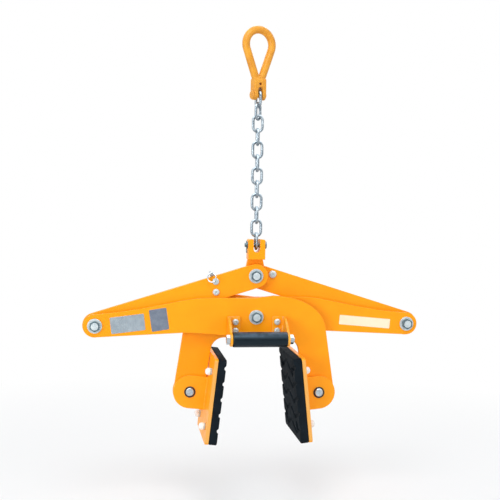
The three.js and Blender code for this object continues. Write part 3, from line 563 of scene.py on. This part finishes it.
def bent_wire(name, points, radius, widths=None):
    """A wire with two ends, bent smoothly past its points, or with a width at each and straight between them."""
    curve = new_curve(name, radius, 2 if widths else 3, smoothness=6)
    curve.use_fill_caps = True
    line = curve.splines.new("POLY" if widths else "NURBS")
    line.points.add(len(points) - 1)
    for point, place, width in zip(line.points, points, widths or [1] * len(points)):
        point.co = (*place, 1)
        point.radius = width
    line.order_u = 3
    line.use_endpoint_u = True
    return made(name, curve)


def weld(start, end, radius):
    """A weld bead: a bar whose thickness ripples along the seam."""
    start, end = Vector(start), Vector(end)
    ripple = 1.7 * MM
    count = max(6, int((end - start).length / ripple) * 2)
    widths = [0.6 if i in (0, count) else (1.0, 0.84)[i % 2] for i in range(count + 1)]
    return bent_wire("bead", [start.lerp(end, i / count) for i in range(count + 1)], radius, widths)


# %% Turned pieces
def turned(name, profile, steps=48, closed=False):
    """A profile of (radius, place along Y) spun round the Y axis."""
    shape = bmesh.new()
    line = [shape.verts.new((radius, along, 0)) for radius, along in profile]
    ends = line + line[:1] if closed else line
    rim = [shape.edges.new(pair) for pair in zip(ends, ends[1:])]
    bmesh.ops.spin(shape, geom=line + rim, cent=(0, 0, 0), axis=(0, 1, 0), angle=2 * math.pi,
                   steps=steps, use_merge=True)
    bmesh.ops.remove_doubles(shape, verts=shape.verts, dist=0.001 * MM)
    bmesh.ops.recalc_face_normals(shape, faces=shape.faces)
    return shown(name, shape)


def ring(name, outer, inner, start, end, edge=0.4 * MM):
    """A washer: a square section with broken corners, spun round Y."""
    return turned(name, [
        (inner, start + edge), (inner + edge, start), (outer - edge, start), (outer, start + edge),
        (outer, end - edge), (outer - edge, end), (inner + edge, end), (inner, end - edge),
    ], closed=True)


def rod(name, radius, start, end, edge=0.6 * MM):
    return turned(name, [
        (0, start), (radius - edge, start), (radius, start + edge),
        (radius, end - edge), (radius - edge, end), (0, end),
    ])


# %% Placing, joining and cutting
def moved(piece, *steps):
    """Applies transforms to the mesh itself, the first one first."""
    for step in steps:
        piece.data.transform(step)
    return piece


def at(place):
    """To a place seen from the front: the depth stays."""
    return shift(place.x, 0, place.z)


def mirrored(piece):
    return tidy(moved(piece, Matrix.Scale(-1, 4, (1, 0, 0))))


def copy_of(piece, name):
    return show(name, piece.data.copy())


def joined(name, *pieces):
    """Several closed shapes as one piece."""
    shape = bmesh.new()
    for piece in pieces:
        shape.from_mesh(piece.data)
        bpy.data.objects.remove(piece)
    return shown(name, shape)


def combine(piece, *tools, operation="DIFFERENCE"):
    """Cuts tools out of a piece, or keeps only what it shares with them."""
    for tool in tools:
        modifier = piece.modifiers.new("combine", "BOOLEAN")
        modifier.object = tool
        modifier.operation = operation
        modifier.solver = "EXACT"
        piece = solidified(piece)
        bpy.data.objects.remove(tool)
    return piece


def forged(piece, voxel, relax):
    """Melts overlapping shapes into one skin and relaxes it, as a die or a mould rounds every corner."""
    remesh = piece.modifiers.new("skin", "REMESH")
    remesh.mode = "VOXEL"
    remesh.voxel_size = voxel
    smooth = piece.modifiers.new("relax", "SMOOTH")
    smooth.factor = 0.5
    smooth.iterations = relax
    return solidified(piece)


def dress(piece, material=None, body=None, slot=None, sharp=32, weighted=True):
    """Finishes a piece. Unless a body is given, it stands for the node that its name begins with."""
    if not piece.data.polygons:
        raise ValueError(piece.name + " is empty")
    node = None if body else piece.name.rpartition("_")[0]
    slot = slot or slot_of[node]
    piece.data.materials.clear()
    piece.data.materials.append(finishes[material or slot])
    piece.data.shade_smooth()
    piece.data.set_sharp_from_angle(angle=math.radians(sharp))
    if weighted:
        piece.modifiers.new("even shading", "WEIGHTED_NORMAL").keep_sharp = True
    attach(piece, body or frame["nodes"][node]["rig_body"])
    if node:
        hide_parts(node)


over = 4 * MM  # how far a cutter reaches past what it cuts
print("tools ready")


# %% [markdown]
# ## Bolts
#
# A bolt head is a hexagon whose corners were turned off by a lathe, which leaves a curved edge on each flat.
# The same happens here: a six-sided cone is kept only where it is inside a turned barrel.

# %% Hexagon heads and nuts
def hexagon(name, flats, start, end, chamfer_start=True, chamfer_end=True):
    corner = flats / math.sqrt(3)
    shape = bmesh.new()
    bmesh.ops.create_cone(shape, cap_ends=True, segments=6, radius1=corner, radius2=corner, depth=end - start,
                          matrix=shift(y=(start + end) / 2) @ STANDING)
    face, rim = flats / 2 - 0.2 * MM, corner * 1.02
    rise = (rim - face) * math.tan(math.radians(30))
    profile = [(0, start)]
    profile += [(face, start), (rim, start + rise)] if chamfer_start else [(rim, start)]
    profile += [(rim, end - rise), (face, end)] if chamfer_end else [(rim, end)]
    barrel = turned(name + "_barrel", [*profile, (0, end)], steps=60)
    return combine(shown(name, shape), barrel, operation="INTERSECT")


# %% Small bolts with a round head, a hexagon socket and sometimes a nut
bolt_hole, bolt_nut = 8.7 * MM, 13 * MM


def socket_head(name, diameter, start, end):
    """A low round head with a hexagon socket, its rim at start."""
    r = diameter / 2
    drop = end - start
    head = turned(name, [
        (0, start), (0.62 * r, start), (0.86 * r, start + 0.18 * drop), (r, start + 0.5 * drop),
        (r, end - 0.1 * drop), (0.96 * r, end), (0, end)], steps=40)
    socket = hexagon(name + "_socket", 0.72 * r, start - 1 * MM, start + 0.45 * drop, False, False)
    return combine(head, socket)


def socket_bolt(name, head_width, start, end, nut=None, edge=0.6 * MM):
    pieces = [socket_head("head", head_width, start, start + 5 * MM), rod("shaft", 4 * MM, start + 4 * MM, end, edge)]
    if nut:
        pieces.append(hexagon("nut", bolt_nut, *nut, chamfer_start=False))
    return joined(name, *pieces)


# %% Pivot bolts, washers and nuts
def dress_pivot(name):
    washer_low, washer_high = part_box(name + "_washer")
    bolt_low, bolt_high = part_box(name + "_bolt")
    nut_low, nut_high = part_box(name + "_nut")
    seat = at(middle(name + "_washer"))
    flats = min((bolt_high - bolt_low).x, (bolt_high - bolt_low).z)
    bolt_radius, crown = 7 * MM, 0.5 * MM
    bore = bolt_radius + bore_gap
    front, head_back = bolt_low.y, washer_low.y - seat_gap
    head = hexagon(name + "_head", flats, front + crown, head_back, chamfer_end=False)
    shank = rod(name + "_shank", bolt_radius, head_back - 1 * MM, bolt_high.y, edge=1 * MM)
    # Painted shade and highlight: the bolt is darkened zinc for the dark ring round the head, and the pale satin face
    # disc on it stands for the head's lit middle
    dress(moved(joined(name + "_bolt_turned", head, shank), seat), "dull_zinc")
    dome = [(0, 0), (0.2, 0.15), (0.35, 0.6), (0.38, 1), (0.38, 2), (0, 2)]  # shares of the flats and the crown
    face = turned(name + "_bolt_face", [(flats * radius, front + crown * along) for radius, along in dome])
    dress(moved(face, seat), "satin_zinc", frame["nodes"][name + "_bolt"]["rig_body"], "bright_zinc")
    washer = ring(name + "_washer_pressed", (washer_high - washer_low).x / 2, bore, washer_low.y, washer_high.y)
    dress(moved(washer, seat), "satin_zinc")
    flange, flange_back = (nut_high - nut_low).x / 2, nut_low.y + 3 * MM
    nut = hexagon(name + "_nut_body", flats, nut_low.y + 1 * MM, nut_high.y, chamfer_start=False)
    nut = combine(nut, rod(name + "_bore", bore, nut_low.y - 1 * MM, nut_high.y + 1 * MM))
    skirt = turned(name + "_skirt", [
        (bore, nut_low.y), (flange - 0.4 * MM, nut_low.y), (flange, nut_low.y + 0.4 * MM),
        (flange, nut_low.y + 1.4 * MM), (flats / 2 + 0.8 * MM, flange_back), (bore, flange_back)], closed=True)
    dress(moved(joined(name + "_nut_pressed", nut, skirt), seat))


for pivot in ("top_pivot", "centre_pivot", "left_outer_pivot", "right_outer_pivot"):
    dress_pivot(pivot)
print("pivots dressed")


# %% [markdown]
# ## Jaws and links
#
# Each jaw is a bell crank cut from 12 mm plate: a long arm to the outer pivot, a belly under the centre bolt
# and a leg down to the pad. The rear jaw is the same outline turned over. The outline is drawn from the centre
# pivot as a cutter would run it, and the free curves are shares of the sizes that they follow.

# %% The jaw's outline
arm_reach, arm_drop = right_outer.x - centre.x, centre.z - right_outer.z
leg_reach, leg_drop = right_pad_pivot.x - centre.x, centre.z - right_pad_pivot.z
jaw_end = 25 * MM
crown, back, belly, waist = 47.5 * MM, 42.5 * MM, 48.5 * MM, 34.2 * MM
leg_outside, leg_inside, throat, shoulder = 36 * MM, 31.5 * MM, 30 * MM, 22 * MM
leg_flare = 8.7


def jaw_outline():
    """The bell crank seen from the front, arm to the left and leg to the right."""
    flare = math.radians(leg_flare)
    leg_half = (leg_outside + leg_inside) / 2
    leg_set = leg_outside - leg_half
    throat_z = -belly - throat

    def edge_x(z, outward):
        return leg_reach + outward / math.cos(flare) - (z + leg_drop) * math.tan(flare)

    line = Outline().arc(-arm_reach, -arm_drop, jaw_end, 90, 270).line((-0.452 * arm_reach, -waist))
    line.curve((-0.311 * arm_reach, -waist), (-0.028 * arm_reach, -belly), (0.417 * leg_reach, -belly))
    line.arc(edge_x(throat_z, -leg_inside - throat), throat_z, throat, 90, leg_flare)
    line.arc(leg_reach + leg_set * math.cos(flare), -leg_drop + leg_set * math.sin(flare), leg_half,
             180 + leg_flare, 360 + leg_flare)
    line.line((edge_x(-shoulder, leg_outside), -shoulder))
    line.curve((1.05 * leg_reach, 0.34 * crown), (0.75 * leg_reach, 0.96 * crown), (0.278 * leg_reach, crown))
    line.line((0, back), (-0.311 * arm_reach, back))
    return line.curve((-0.467 * arm_reach, back), (-0.651 * arm_reach, 0.376 * back),
                      (-arm_reach, jaw_end - arm_drop))


# %% Both jaws
plate_edge = 1.1 * MM
pivot_hole, pad_hole, loose_hole = 14.7 * MM, 18.7 * MM, 23.9 * MM
bracket_holes = [(middle(f"bracket_bolt_{i}").x, middle(f"bracket_bolt_{i}").z - centre.z) for i in (1, 2, 3, 4)]


def jaw(name, low, high, *holes):
    ends = hole(-arm_reach, -arm_drop, pivot_hole), hole(leg_reach, -leg_drop, pad_hole)
    return moved(plate(name, [jaw_outline(), *holes, *ends], low, high, plate_edge), at(centre))


bolt_holes = [hole(x, z, bolt_hole) for x, z in bracket_holes]
dress(jaw("front_jaw_plate", front_low, front_high, hole(0, 0, pivot_hole), *bolt_holes))
rear = mirrored(jaw("rear_jaw_plate", rear_low, rear_high, hole(0, 0, loose_hole)))
print("jaw reach", round(arm_reach, 4), "m, leg drop", round(leg_drop, 4), "m")

# %% Latch sizes, from the left link's line
link_length, link_half = 370 * MM, 27 * MM
link_slope = math.degrees(math.atan2(top.z - right_outer.z, right_outer.x - top.x))
latch_swing = 10
pawl_thickness, hub, shank, foot, hook, lip, play = 10 * MM, 9 * MM, 8.5 * MM, 7 * MM, 5.5 * MM, 6 * MM, 1.5 * MM
latch_bolt = 8 * MM
pawl_place, stop_place = middle("latch_pivot_bolt"), middle("latch_stop_bolt")
lip_top = centre.z + back - pawl_place.z
foot_top = lip_top - lip - play
foot_low = foot_top - foot
shank_right = stop_place.x - pawl_place.x - latch_bolt / 2 - seat_gap
shank_left = shank_right - shank
lip_end = shank_right + play
foot_end = lip_end + hook

# %% The rear jaw gets the notch that the latch hooks into
heel = foot_low - play
way_in = shank_left + heel * math.sin(math.radians(latch_swing)) - play
notch = Outline((way_in, lip_top + over), (way_in, heel), (foot_end + play, heel), (foot_end + play, lip_top - lip),
                (lip_end, lip_top - lip), (lip_end, lip_top + over))
notch = plate("notch", [notch], rear_low - over, rear_high + over, 0)
dress(tidy(combine(rear, moved(notch, at(pawl_place)))))
print("latch notch", round((foot_end - way_in + play) / MM, 1), "mm wide")


# %% Upper links: flat bars with round ends
def upper_link(node, *holes):
    bar = Outline().arc(0, 0, link_half, 90, 270).arc(link_length, 0, link_half, -90, 90)
    bores = [hole(0, 0, pivot_hole), hole(link_length, 0, pivot_hole), *holes]
    return plate(node + "_bar", [bar, *bores], *depth_of(node), plate_edge)


latch_holes = [hole(89.8 * MM, 14.7 * MM, bolt_hole), hole(95.7 * MM, -8.3 * MM, bolt_hole)]
left_bar = mirrored(upper_link("left_link", *latch_holes))
dress(moved(left_bar, spin("Y", -link_slope), at(top)))
dress(moved(upper_link("right_link"), spin("Y", link_slope), at(top)))
print("links dressed")


# %% [markdown]
# ## Chain and master link
#
# A chain link is bar bent round and welded shut, so it is a round section swept along a closed line. The
# master link is a forging: its pear-shaped eye runs into the clevis without an edge anywhere. Overlapping
# shapes are melted into one skin by a voxel remesh and relaxed, which rounds every corner as a die does.

# %% Chain
chain_pitch, chain_wire, chain_width = 28.9 * MM, 6.4 * MM, 27 * MM
link_turns = [110, 55] + [0, 90] * 5
bend_radius = (chain_width - chain_wire) / 2
straight_half = (chain_pitch + seat_gap + chain_wire) / 2 - bend_radius
chain_line = Outline().arc(0, straight_half, bend_radius, 0, 180).arc(0, -straight_half, bend_radius, 180, 360)
pattern_link = bent_bar("chain_pattern", chain_line, chain_wire / 2, smoothness=9, sides=4)
seam = [(0.44, -1.6), (0.53, -0.7), (0.545, 0), (0.53, 0.7), (0.44, 1.6)]  # share of the wire, place in mm
seam = turned("weld_seam", [(chain_wire * share, y * MM) for share, y in seam], steps=18, closed=True)
moved(seam, STANDING, shift(bend_radius, 0, 0))
pattern_link = joined("chain_pattern", pattern_link, seam)
for i, link_turn in enumerate(link_turns):
    node = f"chain_link_{i + 1:02d}"
    link = copy_of(pattern_link, node + "_bent")
    dress(moved(link, spin("Z", link_turn), shift(*middle(node))), "chain_zinc", weighted=False)
bpy.data.objects.remove(pattern_link)
print("chain of", len(link_turns), "links")

# %% Master link: eye and clevis in one forging
eye_rod, eye_width, eye_height, eye_throat, eye_turn = 17.5 * MM, 47.5 * MM, 90 * MM, 10.2 * MM, 20
clevis_width, clevis_gap, clevis_depth, clevis_pin = 29 * MM, 11 * MM, 22 * MM, -135 * MM
clevis_rim, clevis_crown = 5 * MM, 7 * MM

eye_radius = eye_width / 2 + eye_rod / 2
eye_centre = eye_rod / 2 - eye_radius
throat_centre = -eye_height - eye_rod / 2 + eye_throat
lean = math.degrees(math.asin((eye_radius - eye_throat) / (eye_centre - throat_centre)))
eye_line = Outline().arc(0, eye_centre, eye_radius, -lean, 180 + lean)
eye_line.arc(0, throat_centre, eye_throat, 180 + lean, 360 - lean)
eye = bent_bar("eye", eye_line, eye_rod / 2, smoothness=16, sides=7)

ear, half = clevis_depth / 2, clevis_width / 2
block_top = -eye_height - clevis_rim
block_line = soft_block(half, clevis_pin - ear, block_top, clevis_crown, 2 * MM)
clevis = plate("clevis", [block_line], -ear, ear, 1.5 * MM)
side_view = Outline().arc(0, clevis_pin, ear, 180, 360).arc(0, block_top - ear, ear, 0, 180)
side_view = plate("side_view", [side_view], -half - over, half + over, 0, SIDEWAYS)
clevis = combine(clevis, side_view, operation="INTERSECT")
slot_top = clevis_pin + 6 * MM + chain_wire + 4.5 * MM
slot_low = clevis_pin - ear - over
slot_line = Outline((-clevis_gap / 2, slot_low), (clevis_gap / 2, slot_low))
slot_line.arc(0, slot_top - clevis_gap / 2, clevis_gap / 2, 0, 180)
clevis = combine(
    clevis, plate("slot", [slot_line], -ear - over, ear + over, 0),
    moved(rod("bore", 6.35 * MM, -half - over, half + over), ACROSS, shift(z=clevis_pin)),
    moved(rod("lock_hole", 3.2 * MM, -ear - over, ear + over), shift(z=slot_top + clevis_crown)))
master = forged(joined("master_link_forging", eye, clevis), voxel=0.75 * MM, relax=6)
dress(moved(master, spin("Z", eye_turn)), sharp=60, weighted=False)

pin_end, seat = half + seat_gap + 3 * MM, -half - seat_gap
clevis_bolt = turned("master_link_pin_turned", [
    (0, -pin_end), (8.2 * MM, -pin_end), (9.5 * MM, 1 * MM - pin_end), (9.5 * MM, seat - 0.3 * MM), (9.2 * MM, seat),
    (6 * MM, seat), (6 * MM, pin_end - 1 * MM), (5 * MM, pin_end), (0, pin_end)])
dress(moved(clevis_bolt, ACROSS, spin("Z", eye_turn), shift(z=clevis_pin)))
print("master link:", len(master.data.polygons), "faces")


# %% [markdown]
# ## Lug
#
# The lug is the one machined block on the clamp: a slot takes the last chain link across a pin, and a tongue
# goes down between the two links. Its corners are softened a little by the same skin, because the powder coat
# rounds them anyway.

# %% Lug block with its tongue
lug_pin_z = middle("lug_pin").z
lug_half, lug_front, lug_crown = 19 * MM, -17 * MM, 5 * MM
lug_top, lug_low = lug_pin_z + 13 * MM, lug_pin_z - 32 * MM
slot_half, slot_depth, lug_bore = 7.4 * MM, 16 * MM, 5.35 * MM
tongue_half, tongue_end = 16.5 * MM, 25 * MM
block_line = soft_block(lug_half, lug_low, lug_top, lug_crown, 1.5 * MM)
slot_line = Outline((slot_half, lug_top + over), (-slot_half, lug_top + over))
slot_line.arc(0, lug_pin_z - slot_depth + slot_half, slot_half, 180, 360)
lug_block = plate("lug_block", [block_line], lug_front, -lug_front, 1.6 * MM)
lug_block = combine(
    lug_block, plate("lug_slot", [slot_line], lug_front - over, over - lug_front, 0),
    moved(rod("bore", lug_bore, -lug_half - over, lug_half + over), ACROSS, shift(z=lug_pin_z)))
tongue_line = Outline((-tongue_half, lug_low + 2 * MM)).arc(0, top.z, tongue_end, 180, 360)
tongue_line.line((tongue_half, lug_low + 2 * MM))
tongue = plate("tongue", [tongue_line, hole(0, top.z, pivot_hole)], rear_low, rear_high)
lug_piece = forged(joined("chain_lug_milled", lug_block, tongue), voxel=0.6 * MM, relax=3)
dress(lug_piece, sharp=60, weighted=False)

# %% Lug pin, washer and split pin
start, end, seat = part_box("lug_pin")[0].x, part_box("lug_pin")[1].x, lug_half + seat_gap
lug_bolt = turned("lug_pin_turned", [
    (0, start), (4.2 * MM, start), (5 * MM, start + 0.8 * MM), (5 * MM, seat), (8.1 * MM, seat),
    (8.5 * MM, seat + 0.4 * MM), (8.5 * MM, end - 0.8 * MM), (7.7 * MM, end), (0, end)])
dress(moved(lug_bolt, ACROSS, shift(z=lug_pin_z)), "dull_zinc")

split_x = -21.3 * MM
legs = [(1.9, 9), (0.7, 5.5), (0.5, -8), (1.2, -11), (3, -13), (2.6, -16.4), (0, -17.4)]
legs += [(-y, z) for y, z in legs[-2::-1]]
split_pin = bent_wire("hairpin", [(split_x, y * MM, lug_pin_z + z * MM) for y, z in legs], 0.8 * MM)
washer = ring("lug_washer", 8.5 * MM, lug_bore, -seat - 1.5 * MM, -seat)
moved(washer, ACROSS, shift(z=lug_pin_z))
dress(joined("lug_split_pin_bent", split_pin, washer), "dull_zinc")
print("lug dressed")


# %% [markdown]
# ## Pads
#
# Each pad is a plate with two welded cheeks that hang on the jaw's pin, and a moulded rubber block with a
# zigzag tread. Both are drawn once, for the right side with the pad pivot at the origin, and the left pad is
# the same shapes turned over. The tread is cut from the block and then relaxed, because moulded rubber has no
# sharp corner.

# %% Pad sizes
pad_height, pad_depth, rubber_thickness, back_thickness = 186 * MM, 188 * MM, 18 * MM, 8 * MM
pad_tilt, pad_corner = 6.2, 8 * MM
cheek_thickness, cheek_radius = 6 * MM, 37 * MM
back_face = -36 * MM
back_front = back_face - back_thickness
rubber_back = back_front - seat_gap
grip_face = rubber_back - rubber_thickness
well_floor = rubber_back - 6 * MM
tread_pitch, tread_width, tread_depth, tread_rise = 34 * MM, 8 * MM, 3.5 * MM, 17 * MM
bolt_half = 60 * MM
pad_corners = [(y * bolt_half, z * bolt_half) for y in (-1, 1) for z in (-1, 1)]
panel_line = rounded_box(-pad_depth / 2, pad_depth / 2, -pad_height / 2, pad_height / 2, pad_corner)


# %% Back plate with its cheeks
def pad_back(name, low, high):
    holes = [hole(y, z, bolt_hole) for y, z in pad_corners]
    pieces = [plate("panel", [panel_line, *holes], back_front, back_face, lie=SIDEWAYS)]
    inner, reach = back_face - 1 * MM, cheek_radius - 1 * MM
    cheek_line = Outline((inner, -cheek_radius)).arc(0, 0, cheek_radius, -90, 90).line((inner, cheek_radius))
    front = low - layer_gap - cheek_thickness
    for start, seam_y in ((front, front), (high + layer_gap, high + layer_gap + cheek_thickness)):
        pieces.append(plate("cheek", [cheek_line, hole(0, 0, pad_hole)], start, start + cheek_thickness))
        pieces.append(weld((back_face, seam_y, -reach), (back_face, seam_y, reach), 2.2 * MM))
    return joined(name, *pieces)


# %% Rubber with its tread
def groove(z):
    legs = 4
    half_run = pad_depth / 2 + 2 * MM
    crest = [(-half_run + 2 * half_run * i / legs, z + (1 if i % 2 == 0 else -1) * tread_rise / 2)
             for i in range(legs + 1)]
    line = Outline(*((y, mid - tread_width / 2) for y, mid in crest))
    line.line(*((y, mid + tread_width / 2) for y, mid in reversed(crest)))
    return plate("groove", [line], grip_face - 2 * MM, grip_face + tread_depth, 0, SIDEWAYS)


right_block = plate("right_pad_rubber_moulded", [panel_line], grip_face, rubber_back, 1.5 * MM, SIDEWAYS)
rows = int(pad_height // tread_pitch)
grooves = [groove((row - (rows - 1) / 2) * tread_pitch) for row in range(rows)]
wells = [moved(rod("well", 10 * MM, grip_face - over, well_floor), ACROSS, shift(0, y, z)) for y, z in pad_corners]
right_block = forged(combine(right_block, *grooves, *wells), voxel=1.3 * MM, relax=3)
left_block = mirrored(copy_of(right_block, "left_pad_rubber_moulded"))
print("rubber:", len(right_block.data.polygons), "faces each")


# %% Pad bolts with capped nuts, pad pins with retaining rings
def pad_bolt(name):
    dome = [(0, 4), (7.9, 4), (7.9, 7.2), (7.2, 10.2), (5.5, 12.6), (3, 13.8), (0, 14.1)]  # in mm, from the plate
    cap = turned(name + "_cap", [(r * MM, back_face + along * MM) for r, along in dome], steps=36)
    nut = back_face + seat_gap, back_face + 6 * MM
    bolt = socket_bolt(name, 15 * MM, well_floor - seat_gap - 5 * MM, back_face + 4 * MM, nut, 0.5 * MM)
    return moved(bolt, ACROSS), moved(cap, ACROSS)


def pad_pin(name, low, high):
    front, rear_side = low - layer_gap - cheek_thickness - seat_gap, high + layer_gap + cheek_thickness + seat_gap
    pin = rod(name, 9 * MM, front - 3 * MM, rear_side + 3 * MM, edge=1 * MM)
    return pin, [ring("ring", 12.5 * MM, 9.05 * MM, y, y + 1.5 * MM) for y in (front - 1.5 * MM, rear_side)]


# %% Seat both pads
for side, sign, pivot, layer, block in (
        ("left", -1, left_pad_pivot, (rear_low, rear_high), left_block),
        ("right", 1, right_pad_pivot, (front_low, front_high), right_block)):
    seat = (spin("Y", -sign * pad_tilt), at(pivot))
    body = side + "_pad"

    def turned_over(piece):
        return mirrored(piece) if sign < 0 else piece

    back_plate = turned_over(pad_back(body + "_plate_welded", *layer))
    dress(moved(back_plate, *seat), "pad_paint")
    dress(moved(block, *seat), sharp=60, weighted=False)
    pin, rings = pad_pin(body + "_pin_turned", *layer)
    dress(moved(pin, *seat))
    for i, piece in enumerate(rings):
        piece.name = f"{body}_ring_{i + 1}"
        dress(moved(piece, *seat), "dark_steel", body, "dark_steel")
    for i, (z, y) in enumerate(pad_corners):
        bolt, cap = (turned_over(moved(piece, shift(0, y, z))) for piece in pad_bolt(f"{body}_bolt_{i + 1}_turned"))
        # Painted highlight: the near-white cap stands for the glare on the nut
        dress(moved(cap, *seat), "cap_enamel", body, "bright_zinc")
        dress(moved(bolt, *seat), "satin_zinc")
print("pads seated")


# %% [markdown]
# ## Handle
#
# Two angle brackets, welded from plate and bolted through the front jaw, hold a rod with a plastic sleeve. The
# bracket's side is a teardrop that runs from the base out to the rod.

# %% Brackets
grip_low, grip_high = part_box("handle_grip")
grip_y, grip_z = middle("handle_grip").y, middle("handle_grip").z
base_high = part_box("right_handle_bracket")[1]
bracket_side, base_back, base_top = base_high.x, base_high.y, base_high.z
base_bottom, base_width, bracket_plate, end_radius = base_top - 37 * MM, 29 * MM, 5 * MM, 15 * MM


def bracket(name):
    third = (grip_y - base_back) / 3
    near_base, near_grip = base_back + third, grip_y - third
    above, below = grip_z + end_radius, grip_z - end_radius
    line = Outline((base_back, base_bottom), (base_back, base_top))
    line.curve((near_base, base_top), (near_grip, base_top + (above - base_top) / 3), (grip_y, above))
    line.arc(grip_y, grip_z, end_radius, 90, 270)
    line.curve((near_grip, below), (near_base, base_bottom + (below - base_bottom) * 2 / 3), (base_back, base_bottom))
    corner = (bracket_side - bracket_plate, base_back - bracket_plate)
    side = plate("side", [line, hole(grip_y, grip_z, 12.7 * MM)], corner[0], bracket_side, lie=SIDEWAYS)
    base = rounded_box(bracket_side - base_width, bracket_side, base_bottom, base_top, 3 * MM)
    bolts = [hole(x, centre.z + z, bolt_hole) for x, z in bracket_holes if x > 0]
    foot_plate = plate("base", [base, *bolts], corner[1], base_back)
    bead = weld((*corner, base_bottom + 3 * MM), (*corner, base_top - 3 * MM), 2 * MM)
    return joined(name, side, foot_plate, bead)


right_bracket = bracket("right_handle_bracket_welded")
left_bracket = mirrored(copy_of(right_bracket, "left_handle_bracket_welded"))
dress(right_bracket, "welded_paint")
dress(left_bracket, "welded_paint")

# %% Grip, rod and nuts
grip_radius, grip_bore = (grip_high.z - grip_low.z) / 2, 6.35 * MM
soft = 3 * MM
face = grip_radius - soft - 1 * MM
round_edge = [(grip_radius - soft + soft * math.sin(a), soft * math.cos(a)) for a in
              (math.radians(18 * i) for i in range(6))]
profile = [(grip_bore, grip_low.x), (face, grip_low.x)]
profile += [(r, grip_low.x + soft - rise) for r, rise in round_edge]
profile += [(r, grip_high.x - soft + rise) for r, rise in reversed(round_edge)]
profile += [(face, grip_high.x), (grip_bore, grip_high.x)]
grip = turned("handle_grip_moulded", profile, steps=72, closed=True)
dress(moved(grip, ACROSS, shift(0, grip_y, grip_z)), weighted=False)
nut_seat, nut_flats = bracket_side + seat_gap, 18 * MM
bar = rod("bar", 6 * MM, -nut_seat - 7 * MM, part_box("handle_rod")[1].x)
nuts = [hexagon("nut", nut_flats, nut_seat, nut_seat + 8 * MM, chamfer_start=False),
        hexagon("nut", nut_flats, -nut_seat - 8 * MM, -nut_seat, chamfer_end=False)]
dress(moved(joined("handle_rod_turned", bar, *nuts), ACROSS, shift(0, grip_y, grip_z)))

# %% Bracket bolts
for i, (x, z) in enumerate(bracket_holes):
    node = f"bracket_bolt_{i + 1}"
    start, end = depth_of(node)
    bolt = socket_bolt(node + "_turned", 14 * MM, start, end, (front_high + seat_gap, end - 2 * MM))
    dress(moved(bolt, shift(x, 0, centre.z + z)), "satin_zinc")
print("handle dressed")

# %% Spacer between the jaws
low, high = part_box("centre_spacer")
spacer = ring("centre_spacer_turned", (high.x - low.x) / 2, pivot_hole / 2, low.y, high.y, 0.6 * MM)
dress(moved(spacer, at(centre)))


# %% [markdown]
# ## Latch
#
# The latch holds the jaws open while the clamp is set on the next load. A hooked pawl hangs behind the left
# link; only its bolts, its thumb pin and the pull ring show from the front.

# %% Pawl
thumb_radius, thumb_along, thumb_lean = 3.5 * MM, 21 * MM, 38
thumb_x = -thumb_along * math.sin(math.radians(thumb_lean))
thumb_z = thumb_along * math.cos(math.radians(thumb_lean))
line = Outline((shank_left, foot_low), (foot_end, foot_low), (foot_end, foot_top), (shank_right, foot_top),
               (shank_right, -hub))
line.arc(0, 0, hub, -45, 90 - thumb_lean).arc(thumb_x, thumb_z, thumb_radius, 45, 180)
line.line((-hub, 0), (shank_left, -hub))
pawl = plate("pawl", [line, hole(0, 0, bolt_hole)], rear_low, rear_low + pawl_thickness, 0.7 * MM)
thumb = rod("thumb", thumb_radius, depth_of("latch_pawl")[0], rear_low + 1 * MM, edge=1 * MM)
pawl = joined("latch_pawl_cut", pawl, moved(thumb, shift(thumb_x, 0, thumb_z)))
dress(moved(pawl, spin("Y", latch_swing), at(pawl_place)))

# %% Latch bolts and ring
for node, place, nut_height in (
        ("latch_pivot_bolt", pawl_place, 6.5 * MM), ("latch_stop_bolt", stop_place, None)):
    start, end = depth_of(node)
    nut = nut_height and (end - 2 * MM - nut_height, end - 2 * MM)
    dress(moved(socket_bolt(node + "_turned", 15 * MM, start, end, nut), at(place)), "satin_zinc")
pull_ring = bent_bar("latch_ring_bent", hole(0, 0, 2 * 9.8 * MM), 1.25 * MM)
dress(moved(pull_ring, spin("Z", -25), shift(*middle("latch_ring"))), weighted=False)
print("latch dressed")


# %% [markdown]
# ## Blank plates
#
# The jaws carry two small metal plates and a pale strip. They are left blank. A round-head bolt sits near the
# top of the right link.

# %% Blank plates: place, size and thickness in mm, lean in degrees
def blank(name, x, z, width, height, thickness, corner, lean, face, *looks):
    half, rise, back = width * MM / 2, height * MM / 2, face - 0.05 * MM
    line = rounded_box(-half, half, -rise, rise, corner * MM)
    piece = plate(name, [line], back - thickness * MM, back, thickness * MM * 0.3)
    dress(moved(piece, spin("Y", lean), shift(x * MM, 0, top.z + z * MM)), *looks)


blank("blank_nameplate", -282.7, -104.6, 74, 36, 0.8, 2, -6.9, front_low, "bare_plate", "front_jaw", "bright_zinc")
blank("blank_tag", -214.6, -95.7, 38, 48, 0.8, 2, -8.6, front_low, "dull_plate", "front_jaw", "bright_zinc")
blank("blank_strip", 254.8, -104.4, 119, 21.5, 0.3, 1.5, 5, rear_low, "cream_film", "rear_jaw", "yellow_paint")

# %% Round-head bolt on the right link
link_face = depth_of("right_link")[0]
round_head = socket_head("right_link_bolt", 17 * MM, link_face - 4.5 * MM, link_face - 0.1 * MM)
moved(round_head, shift(41.5 * MM, 0, top.z + 2.2 * MM))
dress(round_head, "satin_zinc", "right_arm", "bright_zinc")

# %% Print the size of the imported model
print("cad", [round(v, 4) for corner in cad_box for v in corner])
